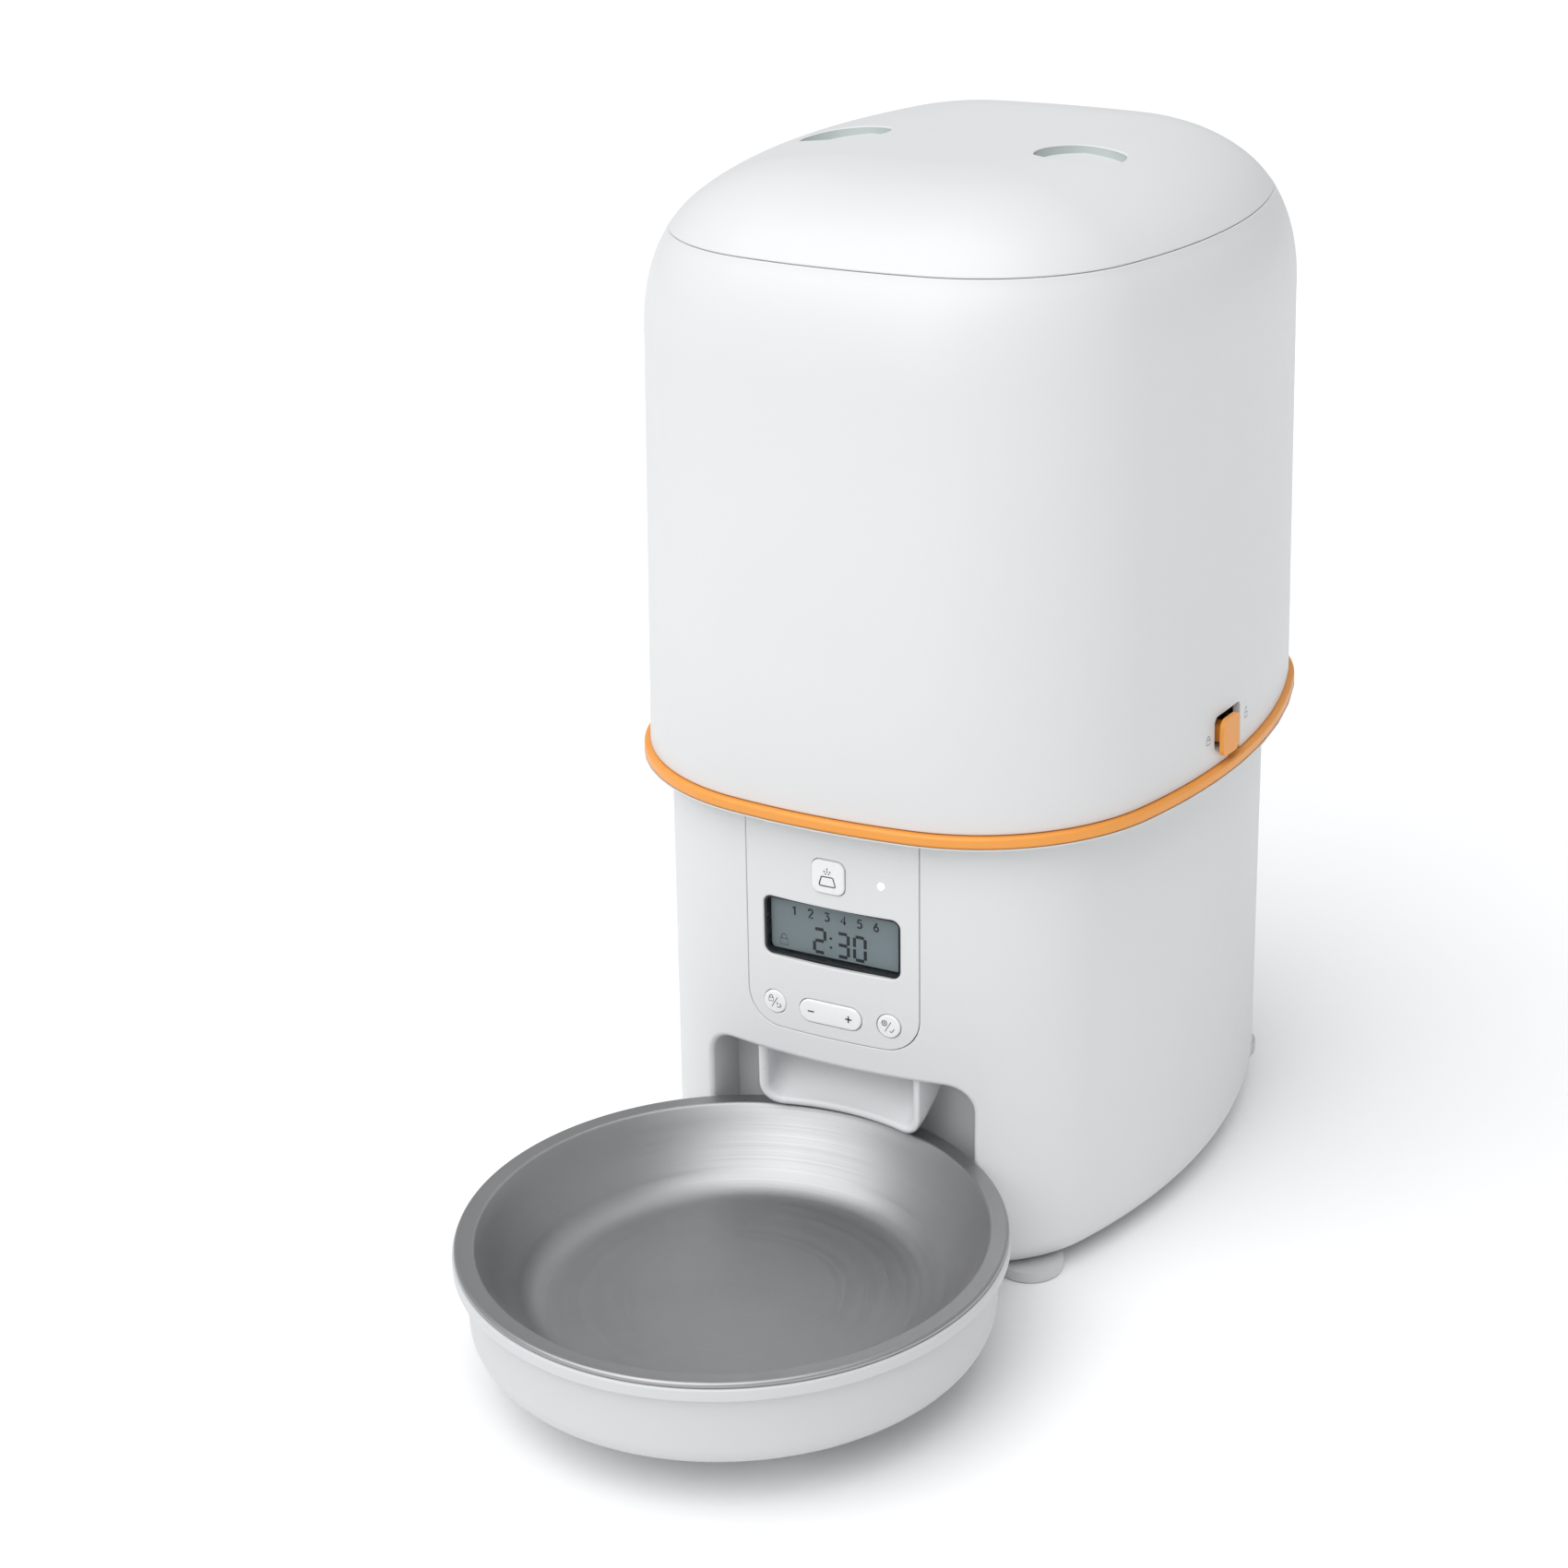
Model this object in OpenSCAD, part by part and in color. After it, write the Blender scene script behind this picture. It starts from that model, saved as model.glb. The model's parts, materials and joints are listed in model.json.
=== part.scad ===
// Automatic dry-food feeder for a cat or a small dog.
// Millimetres, +Z up, the front faces -Y, origin on the floor under the body's centre.

/* [Body] */
// Width across the accent ring, the widest line of the body
body_w = 188; // [186:1:191]
// Depth of the body at the accent ring, front to back
body_d = 225; // [223:1:229]
// Height of the lid's top above the floor
body_h = 332; // [326:1:336]
// Wall thickness of the moulded shells
wall = 2.4; // [2:0.1:2.8]

/* [Bowl and tray] */
// Outer radius of the steel bowl's flat rim
bowl_r = 80; // [78:0.5:81]
// Height of the bowl's rim above the floor
bowl_z = 44.8; // [43:0.2:45]
// Distance of the bowl's centre in front of the body's centre
bowl_y = 166.5; // [166:0.5:170]

/* [Portion wheel] */
// Number of vanes on the portion wheel
vanes = 6; // [5:1:8]
// Gear module of the reduction train
gear_m = 0.7; // [0.66:0.01:0.7]

/* [Hidden] */
$fn = 96;
e = 0.01;

// body outlines: [half width, half depth, bow radius of the sides, corner radius]
RO = [body_w / 2, body_d / 2, 226, 66.5];
BO = [body_w / 2 - 9.7, body_d / 2 - 8, 207, 46];

// heights
z_b0 = 4;            // underside of the base
z_d0 = body_h - 186; // underside of the deck
z_d1 = z_d0 + 2.5;   // top of the deck
z_r1 = z_d1 + 3.5;   // top of the accent ring
z_h0 = z_r1 + 0.2;   // lower edge of the hopper
r_h = 46;            // width of the rounded shoulder
r_v = 50;            // height of the rounded shoulder
crown = 4;           // rise of the lid's top
z_s = body_h - r_v - crown; // start of the shoulder
z_seam = z_s + 33;   // parting line of the lid
dft = 0.024;         // draft of the hopper wall
u_h = -2;            // hopper wall inside the ring at its lower edge
u_s = u_h - dft * (z_s - z_h0);
t = wall;

// control panel
z_but = z_d0 - 61;
z_win = z_d0 - 35.7;
z_feed = z_d0 - 15.6;
yb = -BO[1];         // front of the base on the centre line
x_but = 19.3;
// alcove
alc_w = 45.5;
alc_z = z_d0 - 78.5;
alc_y = -82;
// drive
ry = -24;            // rotor axis
gc = 30 * gear_m;    // centre distance of a gear pair
iy = ry + gc;        // idler axis
my = iy + gc;        // motor axis
z_g0 = z_d0 - 29;    // underside of the gearbox case
// bowl
by = -bowl_y;
tray_z = bowl_z - 31.3;

white = [0.93, 0.94, 0.94];
grey = [0.62, 0.64, 0.66];
orange = [0.95, 0.6, 0.2];

function corner(o) = let (F = [0, o[2] - o[1]], S = [o[0] - o[2], 0], m = (F + S) / 2, v = F - S,
  d = norm(v), h = sqrt(pow(o[2] - o[3], 2) - d * d / 4)) [m[0] + h * v[1] / d, m[1] - h * v[0] / d];
// front surface of the base at x
function yf(x) = yb + BO[2] - sqrt(BO[2] * BO[2] - x * x);

// closed outline of eight tangent arcs grown by g, counterclockwise
function arc_pts(c, r, a0, a1, n) = [for (i = [0 : n - 1]) let (a = a0 + (a1 - a0) * i / n)
  [c[0] + r * cos(a), c[1] + r * sin(a)]];
function ring_pts(o, g) = let (c = corner(o), R = o[2], r = o[3] + g, fy = R - o[1], sx = o[0] - R,
  hf = atan2(c[0], fy - c[1]), hs = atan2(-c[1], c[0] - sx))
  concat(arc_pts([0, fy], R + g, -90 - hf, hf - 90, 4),
    arc_pts([c[0], c[1]], r, hf - 90, -hs, 9),
    arc_pts([sx, 0], R + g, -hs, hs, 7),
    arc_pts([c[0], -c[1]], r, hs, 90 - hf, 9),
    arc_pts([0, -fy], R + g, 90 - hf, 90 + hf, 4),
    arc_pts([-c[0], -c[1]], r, 90 + hf, 180 - hs, 9),
    arc_pts([-sx, 0], R + g, 180 - hs, 180 + hs, 7),
    arc_pts([-c[0], c[1]], r, 180 + hs, 270 - hf, 9));
module slab(o, g, z0, z1) {
  translate([0, 0, z0]) linear_extrude(z1 - z0) polygon(ring_pts(o, g));
}
// shell from a path of [offset, height], closed on itself or capped at both ends
module loft(o, path, closed = true) {
  m = len(path);
  n = len(ring_pts(o, 0));
  pts = [for (p = path) for (q = ring_pts(o, p[0])) [q[0], q[1], p[1]]];
  sides = [for (j = [0 : closed ? m - 1 : m - 2], i = [0 : n - 1]) let (k = (j + 1) % m)
    [j * n + i, k * n + i, k * n + (i + 1) % n, j * n + (i + 1) % n]];
  caps = closed ? [] : [[for (i = [0 : n - 1]) i], [for (i = [n - 1 : -1 : 0]) (m - 1) * n + i]];
  polyhedron(points = pts, faces = concat(sides, caps), convexity = 6);
}
module box(x0, x1, y0, y1, z0, z1) {
  translate([x0, y0, z0]) cube([x1 - x0, y1 - y0, z1 - z0]);
}
module tube(x, y, z0, z1, r) {
  translate([x, y, z0]) cylinder(r = r, h = z1 - z0);
}
// rounded rectangle with exact arcs
module rrect(w, h, r) {
  union() {
    square([w - 2 * r, h], center = true);
    if (h - 2 * r > 0.1) square([w, h - 2 * r], center = true);
    if (h - 2 * r > 0.1) for (sx = [-1, 1], sy = [-1, 1])
      translate([sx * (w / 2 - r), sy * (h / 2 - r)]) circle(r = r);
    if (h - 2 * r <= 0.1) for (sx = [-1, 1]) translate([sx * (w / 2 - r), 0]) circle(r = h / 2);
  }
}
// a shape drawn in X-Z and run along Y from y0 to y1
module xz(y0, y1, x = 0, z = 0) {
  translate([x, y1, z]) rotate([90, 0, 0]) linear_extrude(y1 - y0) children();
}
// a shape drawn in Y-Z and run along X
module yz(x0, x1) {
  translate([x0, 0, 0]) rotate([90, 0, 90]) linear_extrude(x1 - x0) children();
}
module alcove2d(g) {
  union() {
    translate([-alc_w - g, -30]) square([2 * (alc_w + g), alc_z + 30 - 9]);
    translate([-alc_w + 9, -30]) square([2 * (alc_w - 9), alc_z + 30 + g]);
    for (s = [-1, 1]) translate([s * (alc_w - 9), alc_z - 9]) circle(r = 9 + g);
  }
}
module panel2d(g) {
  union() {
    translate([-28.9 - g, z_but + 3]) square([57.8 + 2 * g, z_d0 - z_but + 30]);
    translate([-17.9, z_but - 8 - g]) square([35.8, 20]);
    for (s = [-1, 1]) translate([s * 17.9, z_but + 3]) circle(r = 11 + g);
  }
}

px = 58;             // screw posts
py = 58;
d_b = 0.009 * (z_d0 - z_b0);
base_path = concat(
  [[-t, z_d0], [-t + d_b, z_b0 + 9]],
  [for (a = [15 : 15 : 75]) [d_b - 9 + (9 - t) * cos(a), z_b0 + 9 - (9 - t) * sin(a)]],
  [[d_b - 9, z_b0 + t], [d_b - 12, z_b0 + t], [d_b - 12, z_b0], [d_b - 9, z_b0]],
  [for (a = [75 : -15 : 15]) [d_b - 9 + 9 * cos(a), z_b0 + 9 - 9 * sin(a)]],
  [[d_b, z_b0 + 9], [0, z_d0]]);
module base_shell() color(white) difference() {
  union() {
    loft(BO, base_path);
    // walls of the alcove
    intersection() {
      xz(-120, alc_y + t) alcove2d(t);
      slab(BO, -1, z_b0, z_d0);
    }
    // posts for the deck and the bottom cover
    for (sx = [-1, 1], sy = [-1, 1]) {
      tube(sx * px, sy * py, z_b0 + t + 0.1, z_d0 - 0.1, 4);
      box(sx * 67 - 8, sx * 67 + 8, sy * py - 1, sy * py + 1, z_b0 + 9, z_d0 - 0.1);
    }
    // ledge behind the control panel
    intersection() {
      difference() {
        xz(-112, yb + 7.6) panel2d(2.2);
        xz(-112, yb + 8) panel2d(-1.6);
        box(-60, 60, -130, yb + 3.2, 0, z_d0);
      }
      slab(BO, -1, z_b0, z_d0);
    }
    // cup for the power inlet
    box(-9, 9, -yb - 13, -yb - t + 1.4, 23, 39);
  }
  // seat of the control panel and the opening behind it
  intersection() {
    bow(-6, 2.5, z_but - 20, z_d0 + 1);
    xz(-130, -60) panel2d(0.25);
  }
  xz(-130, yb + 8.1) panel2d(-1.6);
  xz(-130, alc_y) alcove2d(0);
  box(-25.6, 25.6, alc_y - 1.2, alc_y + t + 0.2, alc_z + 0.3, alc_z + 10);
  box(-30.6, 30.6, yb + 3.4, alc_y - 1, alc_z - 1, alc_z + 10);
  box(-16, 16, alc_y - 1, alc_y + 5, tray_z + 1.6, tray_z + 8.4);
  box(-7.2, 7.2, -yb - 14, -yb - 2, 25, 37);
  xz(-yb - 5, -yb + 4, 0, 31) circle(r = 5);
  for (sx = [-1, 1], sy = [-1, 1]) {
    tube(sx * px, sy * py, z_b0, z_b0 + 18, 1.3);
    tube(sx * px, sy * py, z_d0 - 16, z_d0 + 1, 1.3);
  }
}

// battery bay: three cells side by side across the base, opened from below
bat_x = 34;
bat_y0 = -22;
bat_y1 = 84;
module base_bottom() color(white) difference() {
  union() {
    slab(BO, -11.1, z_b0, z_b0 + 2.4);
    box(-bat_x - 2, bat_x + 2, bat_y0 - 2, bat_y1 + 2, z_b0, z_b0 + 42);
    for (s = [-1, 1]) {
      box(s * 38.5 - 2, s * 38.5 + 2, bat_y0 - 2, bat_y1 + 2, z_b0 - 2.8, z_b0 + 1);
      box(s * 37.3 - 3.2, s * 37.3 + 3.2, bat_y0 - 2, bat_y1 + 2, z_b0 - 2.8, z_b0 - 2);
    }
  }
  box(-bat_x, bat_x, bat_y0, bat_y1, z_b0 - 1, z_b0 + 40);
  // notch under the alcove
  xz(-130, alc_y + t + 0.4) alcove2d(t + 0.4);
  for (sx = [-1, 1], sy = [-1, 1]) tube(sx * px, sy * py, z_b0 - 1, z_b0 + 5, 1.7);
  for (sx = [-1, 1], sy = [-1, 1]) translate([sx * px, sy * py, z_b0 - e]) cylinder(r = 3.2, h = 1.3);
}
module feet() color(white) for (p = [[57, -83], [-57, -83], [60, 80], [-60, 80]]) {
  translate([p[0], p[1], 0]) rotate_extrude() union() {
    square([9.5, z_b0 - 0.02]);
    translate([0, 1]) square([10.5, z_b0 - 1.02]);
    translate([9.5, 1]) circle(r = 1);
  }
}
module screw(x, y, z, l, r = 1.25, rh = 2.7, hh = 1.2) {
  // head up at z, shank below
  translate([x, y, z - hh]) difference() {
    cylinder(r = rh, h = hh);
    translate([0, 0, hh - 0.7]) cube([0.8, 3, 1.5], center = true);
    translate([0, 0, hh - 0.7]) cube([3, 0.8, 1.5], center = true);
  }
  tube(x, y, z - hh - l, z - hh, r);
}
module bottom_screws() color(grey) for (sx = [-1, 1], sy = [-1, 1])
  translate([sx * px, sy * py, z_b0]) rotate([180, 0, 0]) screw(0, 0, 0, 14);

module bow(y0, y1, z0, z1) {
  // curved plate that follows the front, y0 and y1 measured inwards from the surface
  intersection() {
    translate([0, BO[2] + yb, z0]) difference() {
      cylinder(r = BO[2] - y0, h = z1 - z0);
      translate([0, 0, -1]) cylinder(r = BO[2] - y1, h = z1 - z0 + 2);
    }
    box(-60, 60, -140, -60, z0, z1);
  }
}
module bosses(y0, y1, r) {
  for (sx = [-1, 1], z = [z_but + 8.4, z_feed + 10.6]) xz(y0, y1, sx * 24.8, z) circle(r = r);
}
module front_panel() color(white) difference() {
  union() {
    intersection() {
      bow(0, 2.2, z_but - 14, z_d0 - 0.2);
      xz(-130, -60) panel2d(0);
    }
    bosses(yb + 2.6, yb + 7.95, 2.1);
  }
  bosses(yb + 2.8, yb + 9, 1.22);
  xz(-130, -60, 0, z_win) rrect(46.2, 19.6, 2.6);
  xz(-130, -60, 0, z_feed) rrect(11.4, 11.2, 2.8);
  for (s = [-1, 1]) xz(-130, -60, s * x_but, z_but) circle(r = 4.05);
  xz(-130, -60, 0, z_but) rrect(21.6, 8.1, 4.05);
  xz(-130, -60, 17, z_feed) circle(r = 1.3);
}
module display_bezel() color([0.08, 0.09, 0.1]) difference() {
  union() {
    xz(yb + 1.5, yb + 5, 0, z_win) rrect(45.8, 19.2, 2.4);
    xz(yb + 3.9, yb + 5, 0, z_win) rrect(50, 23, 2.4);
  }
  xz(-130, yb + 6, 0, z_win) rrect(44.4, 17.8, 1.8);
}
module display_window() color([0.8, 0.85, 0.88, 0.5]) xz(yb + 2.7, yb + 3.7, 0, z_win) rrect(44.2, 17.6, 1.7);
module lcd_module() color([0.5, 0.55, 0.56]) union() {
  xz(yb + 3.8, yb + 5.9, 0, z_win) rrect(43.6, 17, 1.5);
  xz(yb + 5.2, yb + 7.9, 0, z_win) square([47, 21], center = true);
}
module led_lens() color([1, 1, 1]) union() {
  xz(yf(17) - 0.15, yb + 6.6, 17, z_feed) circle(r = 1.15);
  xz(yb + 4.2, yb + 5, 17, z_feed) circle(r = 2);
}
module feed_button() color(white) union() {
  xz(yb - 0.8, yb + 3, 0, z_feed) rrect(10.9, 10.7, 2.6);
  xz(yb + 2.5, yb + 3.6, 0, z_feed) rrect(13.6, 13.4, 3);
  xz(yb + 3.5, yb + 4.6, 0, z_feed) circle(r = 1.6);
}
module round_button(s) {
  xz(yf(x_but) - 0.8, yf(x_but) + 2.8, s * x_but, z_but) circle(r = 3.8);
  xz(yf(x_but) + 2.5, yb + 4, s * x_but, z_but) circle(r = 3.4);
  xz(yb + 3.8, yb + 4.6, s * x_but, z_but) circle(r = 5);
  xz(yb + 4, yb + 4.85, s * x_but, z_but) circle(r = 1.5);
}
module lock_button() color(white) union() {
  round_button(-1);
}
module settings_button() color(white) union() {
  round_button(1);
}
module minus_plus_rocker() color(white) union() {
  xz(yb - 0.8, yb + 3.5, 0, z_but) rrect(21, 7.5, 3.75);
  xz(yb + 3.3, yb + 4, 0, z_but) rrect(22.8, 9.6, 4);
  for (s = [-1, 1]) xz(yb + 3.9, yb + 5, s * 6.4, z_but) circle(r = 1.4);
}
module control_board() color([0.1, 0.4, 0.25]) difference() {
  box(-27, 27, yb + 8, yb + 9.6, z_but - 8, z_feed + 14);
  bosses(yb + 7, yb + 10, 1.5);
}
module tact_switches() color([0.15, 0.15, 0.16]) {
  for (p = [[0, z_feed], [-x_but, z_but], [x_but, z_but], [-6.4, z_but], [6.4, z_but]]) {
    box(p[0] - 3, p[0] + 3, yb + 6.1, yb + 8, p[1] - 3, p[1] + 3);
    xz(yb + 5.5, yb + 6.2, p[0], p[1]) circle(r = 1.4);
  }
  // small light source behind the lens
  box(15.6, 18.4, yb + 7, yb + 8, z_feed - 1.2, z_feed + 1.2);
}
module board_screws() color(grey) union() {
  bosses(yb + 9.6, yb + 11, 2.3);
  bosses(yb + 4, yb + 9.7, 1.2);
}

module deck() color(white) difference() {
  union() {
    slab(RO, -6, z_d0, z_d1);
    loft(RO, [[-6.4, z_d0], [0, z_d1 - 0.35], [0, z_d1]], false);
    tube(0, ry, z_d0 - 7, z_d0 + e, 8);
    tube(0, iy, z_d0 - 6, z_d0 + e, 4);
  }
  tube(0, ry, z_d0 - 8, z_d1 + 1, 6);
  tube(0, iy, z_d0 - 7, z_d0 + 0.4, 1.55);
  box(-23.4, 23.4, -72.2, -47.6, z_d0 - 1, z_d1 + 1);
  box(77, 80.6, -28, -8, z_d0 - 1, z_d1 + 1);
  for (sx = [-1, 1], sy = [-1, 1]) tube(sx * px, sy * py, z_d0 - 1, z_d1 + 1, 1.6);
  for (p = case_ears) tube(p[0], p[1], z_d0 - 1, z_d1 + 1, 1.6);
  for (s = [-1, 1]) tube(s * 29.4, -70, z_d0 - 1, z_d1 + 1, 1.5);
}
module accent_ring() color(orange) difference() {
  union() {
    slab(RO, 0, z_d1 + 0.5, z_r1 - 0.5);
    slab(RO, -0.5, z_d1 + 0.02, z_r1);
  }
  slab(RO, -5.6, z_d1 - 1, z_r1 + 1);
}
module output_bush() color([0.8, 0.65, 0.3]) difference() {
  tube(0, ry, z_d0 - 7, z_d1, 5.98);
  tube(0, ry, z_d0 - 8, z_d1 + 1, 4.06);
}
case_ears = [[20.5, -15], [-20.5, -15], [17, 10], [-17, 10]];
module case2d(g) {
  union() {
    translate([0, ry]) circle(r = 18.2 + g);
    translate([0, iy]) circle(r = 18.2 + g);
    translate([0, my]) circle(r = 13.2 + g);
    translate([-13.2 - g, iy]) square([26.4 + 2 * g, gc]);
  }
}
module gearbox_case() color([0.85, 0.86, 0.84]) difference() {
  union() {
    translate([0, 0, z_g0]) linear_extrude(z_d0 - 0.1 - z_g0) case2d(1.6);
    for (p = case_ears) tube(p[0], p[1], z_g0, z_d0 - 0.1, 3.6);
    tube(0, ry, z_g0 - 3, z_g0 + 1, 6);
    tube(0, iy, z_g0 - 3, z_g0 + 1, 4);
  }
  translate([0, 0, z_g0 + 2.2]) linear_extrude(60) case2d(0);
  tube(0, ry, z_g0 - 1, z_g0 + 4, 3.06);
  tube(0, iy, z_g0 - 1.5, z_g0 + 5, 1.55);
  tube(0, my, z_g0 - 1, z_g0 + 4, 3.2);
  for (s = [-1, 1]) tube(s * 8, my, z_g0 - 1, z_g0 + 4, 1.3);
  for (p = case_ears) tube(p[0], p[1], z_g0 - 1, z_d0 + 1, 1.6);
}
module gearbox_screws() color(grey) {
  for (p = case_ears) translate([p[0], p[1], z_g0]) rotate([180, 0, 0]) screw(0, 0, 1.2, 26, 1.3, 3);
  for (s = [-1, 1]) screw(s * 8, my, z_g0 + 3.3, 4.6, 1.1, 2, 1);
}
module drive_motor() color([0.75, 0.76, 0.78]) difference() {
  union() {
    tube(0, my, z_g0 - 31, z_g0 - 0.05, 12.2);
    tube(0, my, z_g0 - 33, z_g0 - 30, 5);
    tube(0, my, z_g0 - 1, z_g0 + 1.6, 3);
    tube(0, my, z_g0, z_g0 + 9.5, 0.99);
    for (s = [-1, 1]) box(s * 8 - 0.4, s * 8 + 0.4, my - 1.5, my + 1.5, z_g0 - 35, z_g0 - 30.5);
  }
  for (s = [-1, 1]) tube(s * 8, my, z_g0 - 4, z_g0 + 1, 1.12);
}
// spur gear outline with trapezoid teeth, one tooth centred on angle ph
function gear_pts(n, m, ph) = [for (i = [0 : n - 1], k = [[-0.3, -1.05], [-0.14, 0.75], [0.14, 0.75], [0.3, -1.05]])
  let (a = ph + (i + k[0]) * 360 / n, r = m * n / 2 + k[1] * m) [r * cos(a), r * sin(a)]];
module gear(n, ph, z0, z1) {
  translate([0, 0, z0]) linear_extrude(z1 - z0) polygon(gear_pts(n, gear_m, ph));
}
module motor_pinion() color([0.85, 0.7, 0.35]) difference() {
  translate([0, my, 0]) gear(12, 15, z_g0 + 4.4, z_g0 + 9.4);
  tube(0, my, z_g0, z_g0 + 12, 1.04);
}
module idler_axle() color([0.8, 0.8, 0.82]) tube(0, iy, z_g0 - 1.2, z_d0, 1.5);
module idler_gear() color([0.92, 0.92, 0.88]) difference() {
  translate([0, iy, 0]) union() {
    gear(48, 0, z_g0 + 4.4, z_g0 + 9);
    gear(12, 15, z_g0 + 8, z_g0 + 17);
    tube(0, 0, z_g0 + 3, z_g0 + 5, 3);
    tube(0, 0, z_g0 + 16, z_g0 + 19, 2.6);
  }
  tube(0, iy, z_g0, z_d0, 1.56);
}
module output_gear() color([0.92, 0.92, 0.88]) translate([0, ry, 0]) union() {
  gear(48, 0, z_g0 + 10.4, z_g0 + 16);
  tube(0, 0, z_g0 + 0.5, z_g0 + 11, 3);
  tube(0, 0, z_g0 + 9.6, z_g0 + 11, 5);
  tube(0, 0, z_g0 + 15, z_d1 + 4, 4);
  translate([0, 0, z_d1 + 4 - e]) linear_extrude(7) circle(r = 4, $fn = 6);
}
module dc_inlet() color([0.1, 0.1, 0.1]) difference() {
  union() {
    box(-7, 7, -yb - 13.6, -yb - t - 0.3, 25.2, 36.8);
    xz(-yb - t - 1, -yb - 1.2, 0, 31) circle(r = 4.8);
  }
  xz(-yb - 11, -yb, 0, 31) circle(r = 2.75);
}

// chute: inner and outer side outlines
lz = bowl_z + 4.2;
module chute_side(g) {
  k = g > 0 ? 1 : 0;
  polygon([[-72 - g, z_d0 + 1 - k * 1.1], [-72 - g, z_d0 - 34], [-96 - g * 0.6, alc_z + 4],
    [-97.2 - g * 0.6, alc_z - 0.2], [-120, alc_z - 0.2], [-120, lz - k * 3.4],
    [-95, lz - k * 3.4], [-83 + g * 0.8, alc_z + 0.5 - g * 0.7],
    [-48 + g, z_d0 - 42 - g * 0.7], [-48 + g, z_d0 + 1 - k * 1.1]]);
}
module food_chute() color(white) difference() {
  union() {
    intersection() {
      yz(-25.2, 25.2) chute_side(1.8);
      box(-60, 60, -140, 0, alc_z + 1, z_d0 + 2);
    }
    // wide scoop in the alcove
    intersection() {
      yz(-29.6, 29.6) polygon([[-100.2, alc_z - 0.3], [-98.4, lz + 1], [-97, lz - 2.8], [-93, lz - 2.8],
        [alc_y - 0.5, lz + 9], [alc_y - 0.5, alc_z - 0.3]]);
      slab(BO, -3, 0, z_d0);
    }
    box(-29.6, 29.6, yb + 4.2, alc_y - 1.6, alc_z - 2, alc_z + 1.8);
    for (s = [-1, 1]) box(s * 29 - 4, s * 29 + 4, -74, -66, z_d0 - 4, z_d0 - 0.1);
  }
  yz(-23.4, 23.4) chute_side(0);
  intersection() {
    yz(-26.2, 26.2) polygon([[-130, alc_z - 0.8], [-130, lz + 0.6], [-95.2, lz + 0.6], [-84, lz + 13.4], [-84, alc_z - 0.8]]);
    box(-60, 60, -140, alc_y - 3, 0, alc_z + 5);
  }
  for (s = [-1, 1]) tube(s * 29.4, -70, z_d0 - 5, z_d0, 1.3);
}
module chute_screws() color(grey) for (s = [-1, 1]) screw(s * 29.4, -70, z_d1 + 1.22, 6, 1.2, 2.6);

// lock: tab on the right side, locked at the front end of its slot
ly = -18.5;
module lock_slider() color(orange) union() {
  intersection() {
    translate([0, ly, z_h0 + 9]) rotate([90, 0, 90]) linear_extrude(120) rrect(11, 12, 2.6);
    difference() {
      slab(RO, 0.4, z_h0 + 1, z_h0 + 17);
      slab(RO, -1, z_h0, z_h0 + 18);
    }
    box(60, 120, ly - 20, ly + 20, z_h0, z_h0 + 20);
  }
  box(78, RO[0] - 1.2, ly - 2.8, ly + 2.8, z_h0 + 7, z_h0 + 12);
  box(78, 80, ly - 2.8, ly + 2.8, z_d0 - 2.6, z_h0 + 12);
  box(75.6, 80, ly - 6, ly + 6, z_d0 - 2.6, z_d0 - 0.3);
}

// conical wire coil: turns, radius at the bottom and top, height, wire radius
module coil(turns, r0, r1, h, w) {
  k = 14;
  m = 6;
  n = floor(turns * k);
  pts = [for (i = [0 : n]) let (a = 360 * i / k, f = i / n, r = r0 + (r1 - r0) * f)
    for (j = [0 : m - 1]) let (b = 360 * j / m, q = r + w * cos(b)) [q * cos(a), q * sin(a), h * f + w * sin(b)]];
  sides = [for (i = [0 : n - 1], j = [0 : m - 1])
    [i * m + j, i * m + (j + 1) % m, (i + 1) * m + (j + 1) % m, (i + 1) * m + j]];
  polyhedron(points = pts, faces = concat(sides,
    [[for (j = [m - 1 : -1 : 0]) j], [for (j = [0 : m - 1]) n * m + j]]), convexity = 8);
}
module battery_door() color(white) difference() {
  box(-bat_x - 2.2, bat_x + 2.2, bat_y0 - 1.6, bat_y1 + 1.8, z_b0 - 1.8, z_b0 - 0.2);
  for (i = [0 : 4]) box(-12, 12, bat_y1 - 8 - i * 2.6, bat_y1 - 7 - i * 2.6, z_b0 - 1.9, z_b0 - 1.3);
}
bat_c = (bat_y0 + bat_y1) / 2;
module battery_springs() color(grey) for (i = [-1, 0, 1])
  translate([-bat_x + 1.5, bat_c + i * 35.2, z_b0 + 20]) rotate([0, 90, 0]) coil(3.5, 8, 4.2, 6, 0.5);
module battery_contacts() color(grey) {
  for (i = [-1, 0, 1], s = [-1, 1])
    box(s * (bat_x - 0.45) - 0.4, s * (bat_x - 0.45) + 0.4, bat_c + i * 35.2 - 10, bat_c + i * 35.2 + 10, z_b0 + 8, z_b0 + 32);
}

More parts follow.
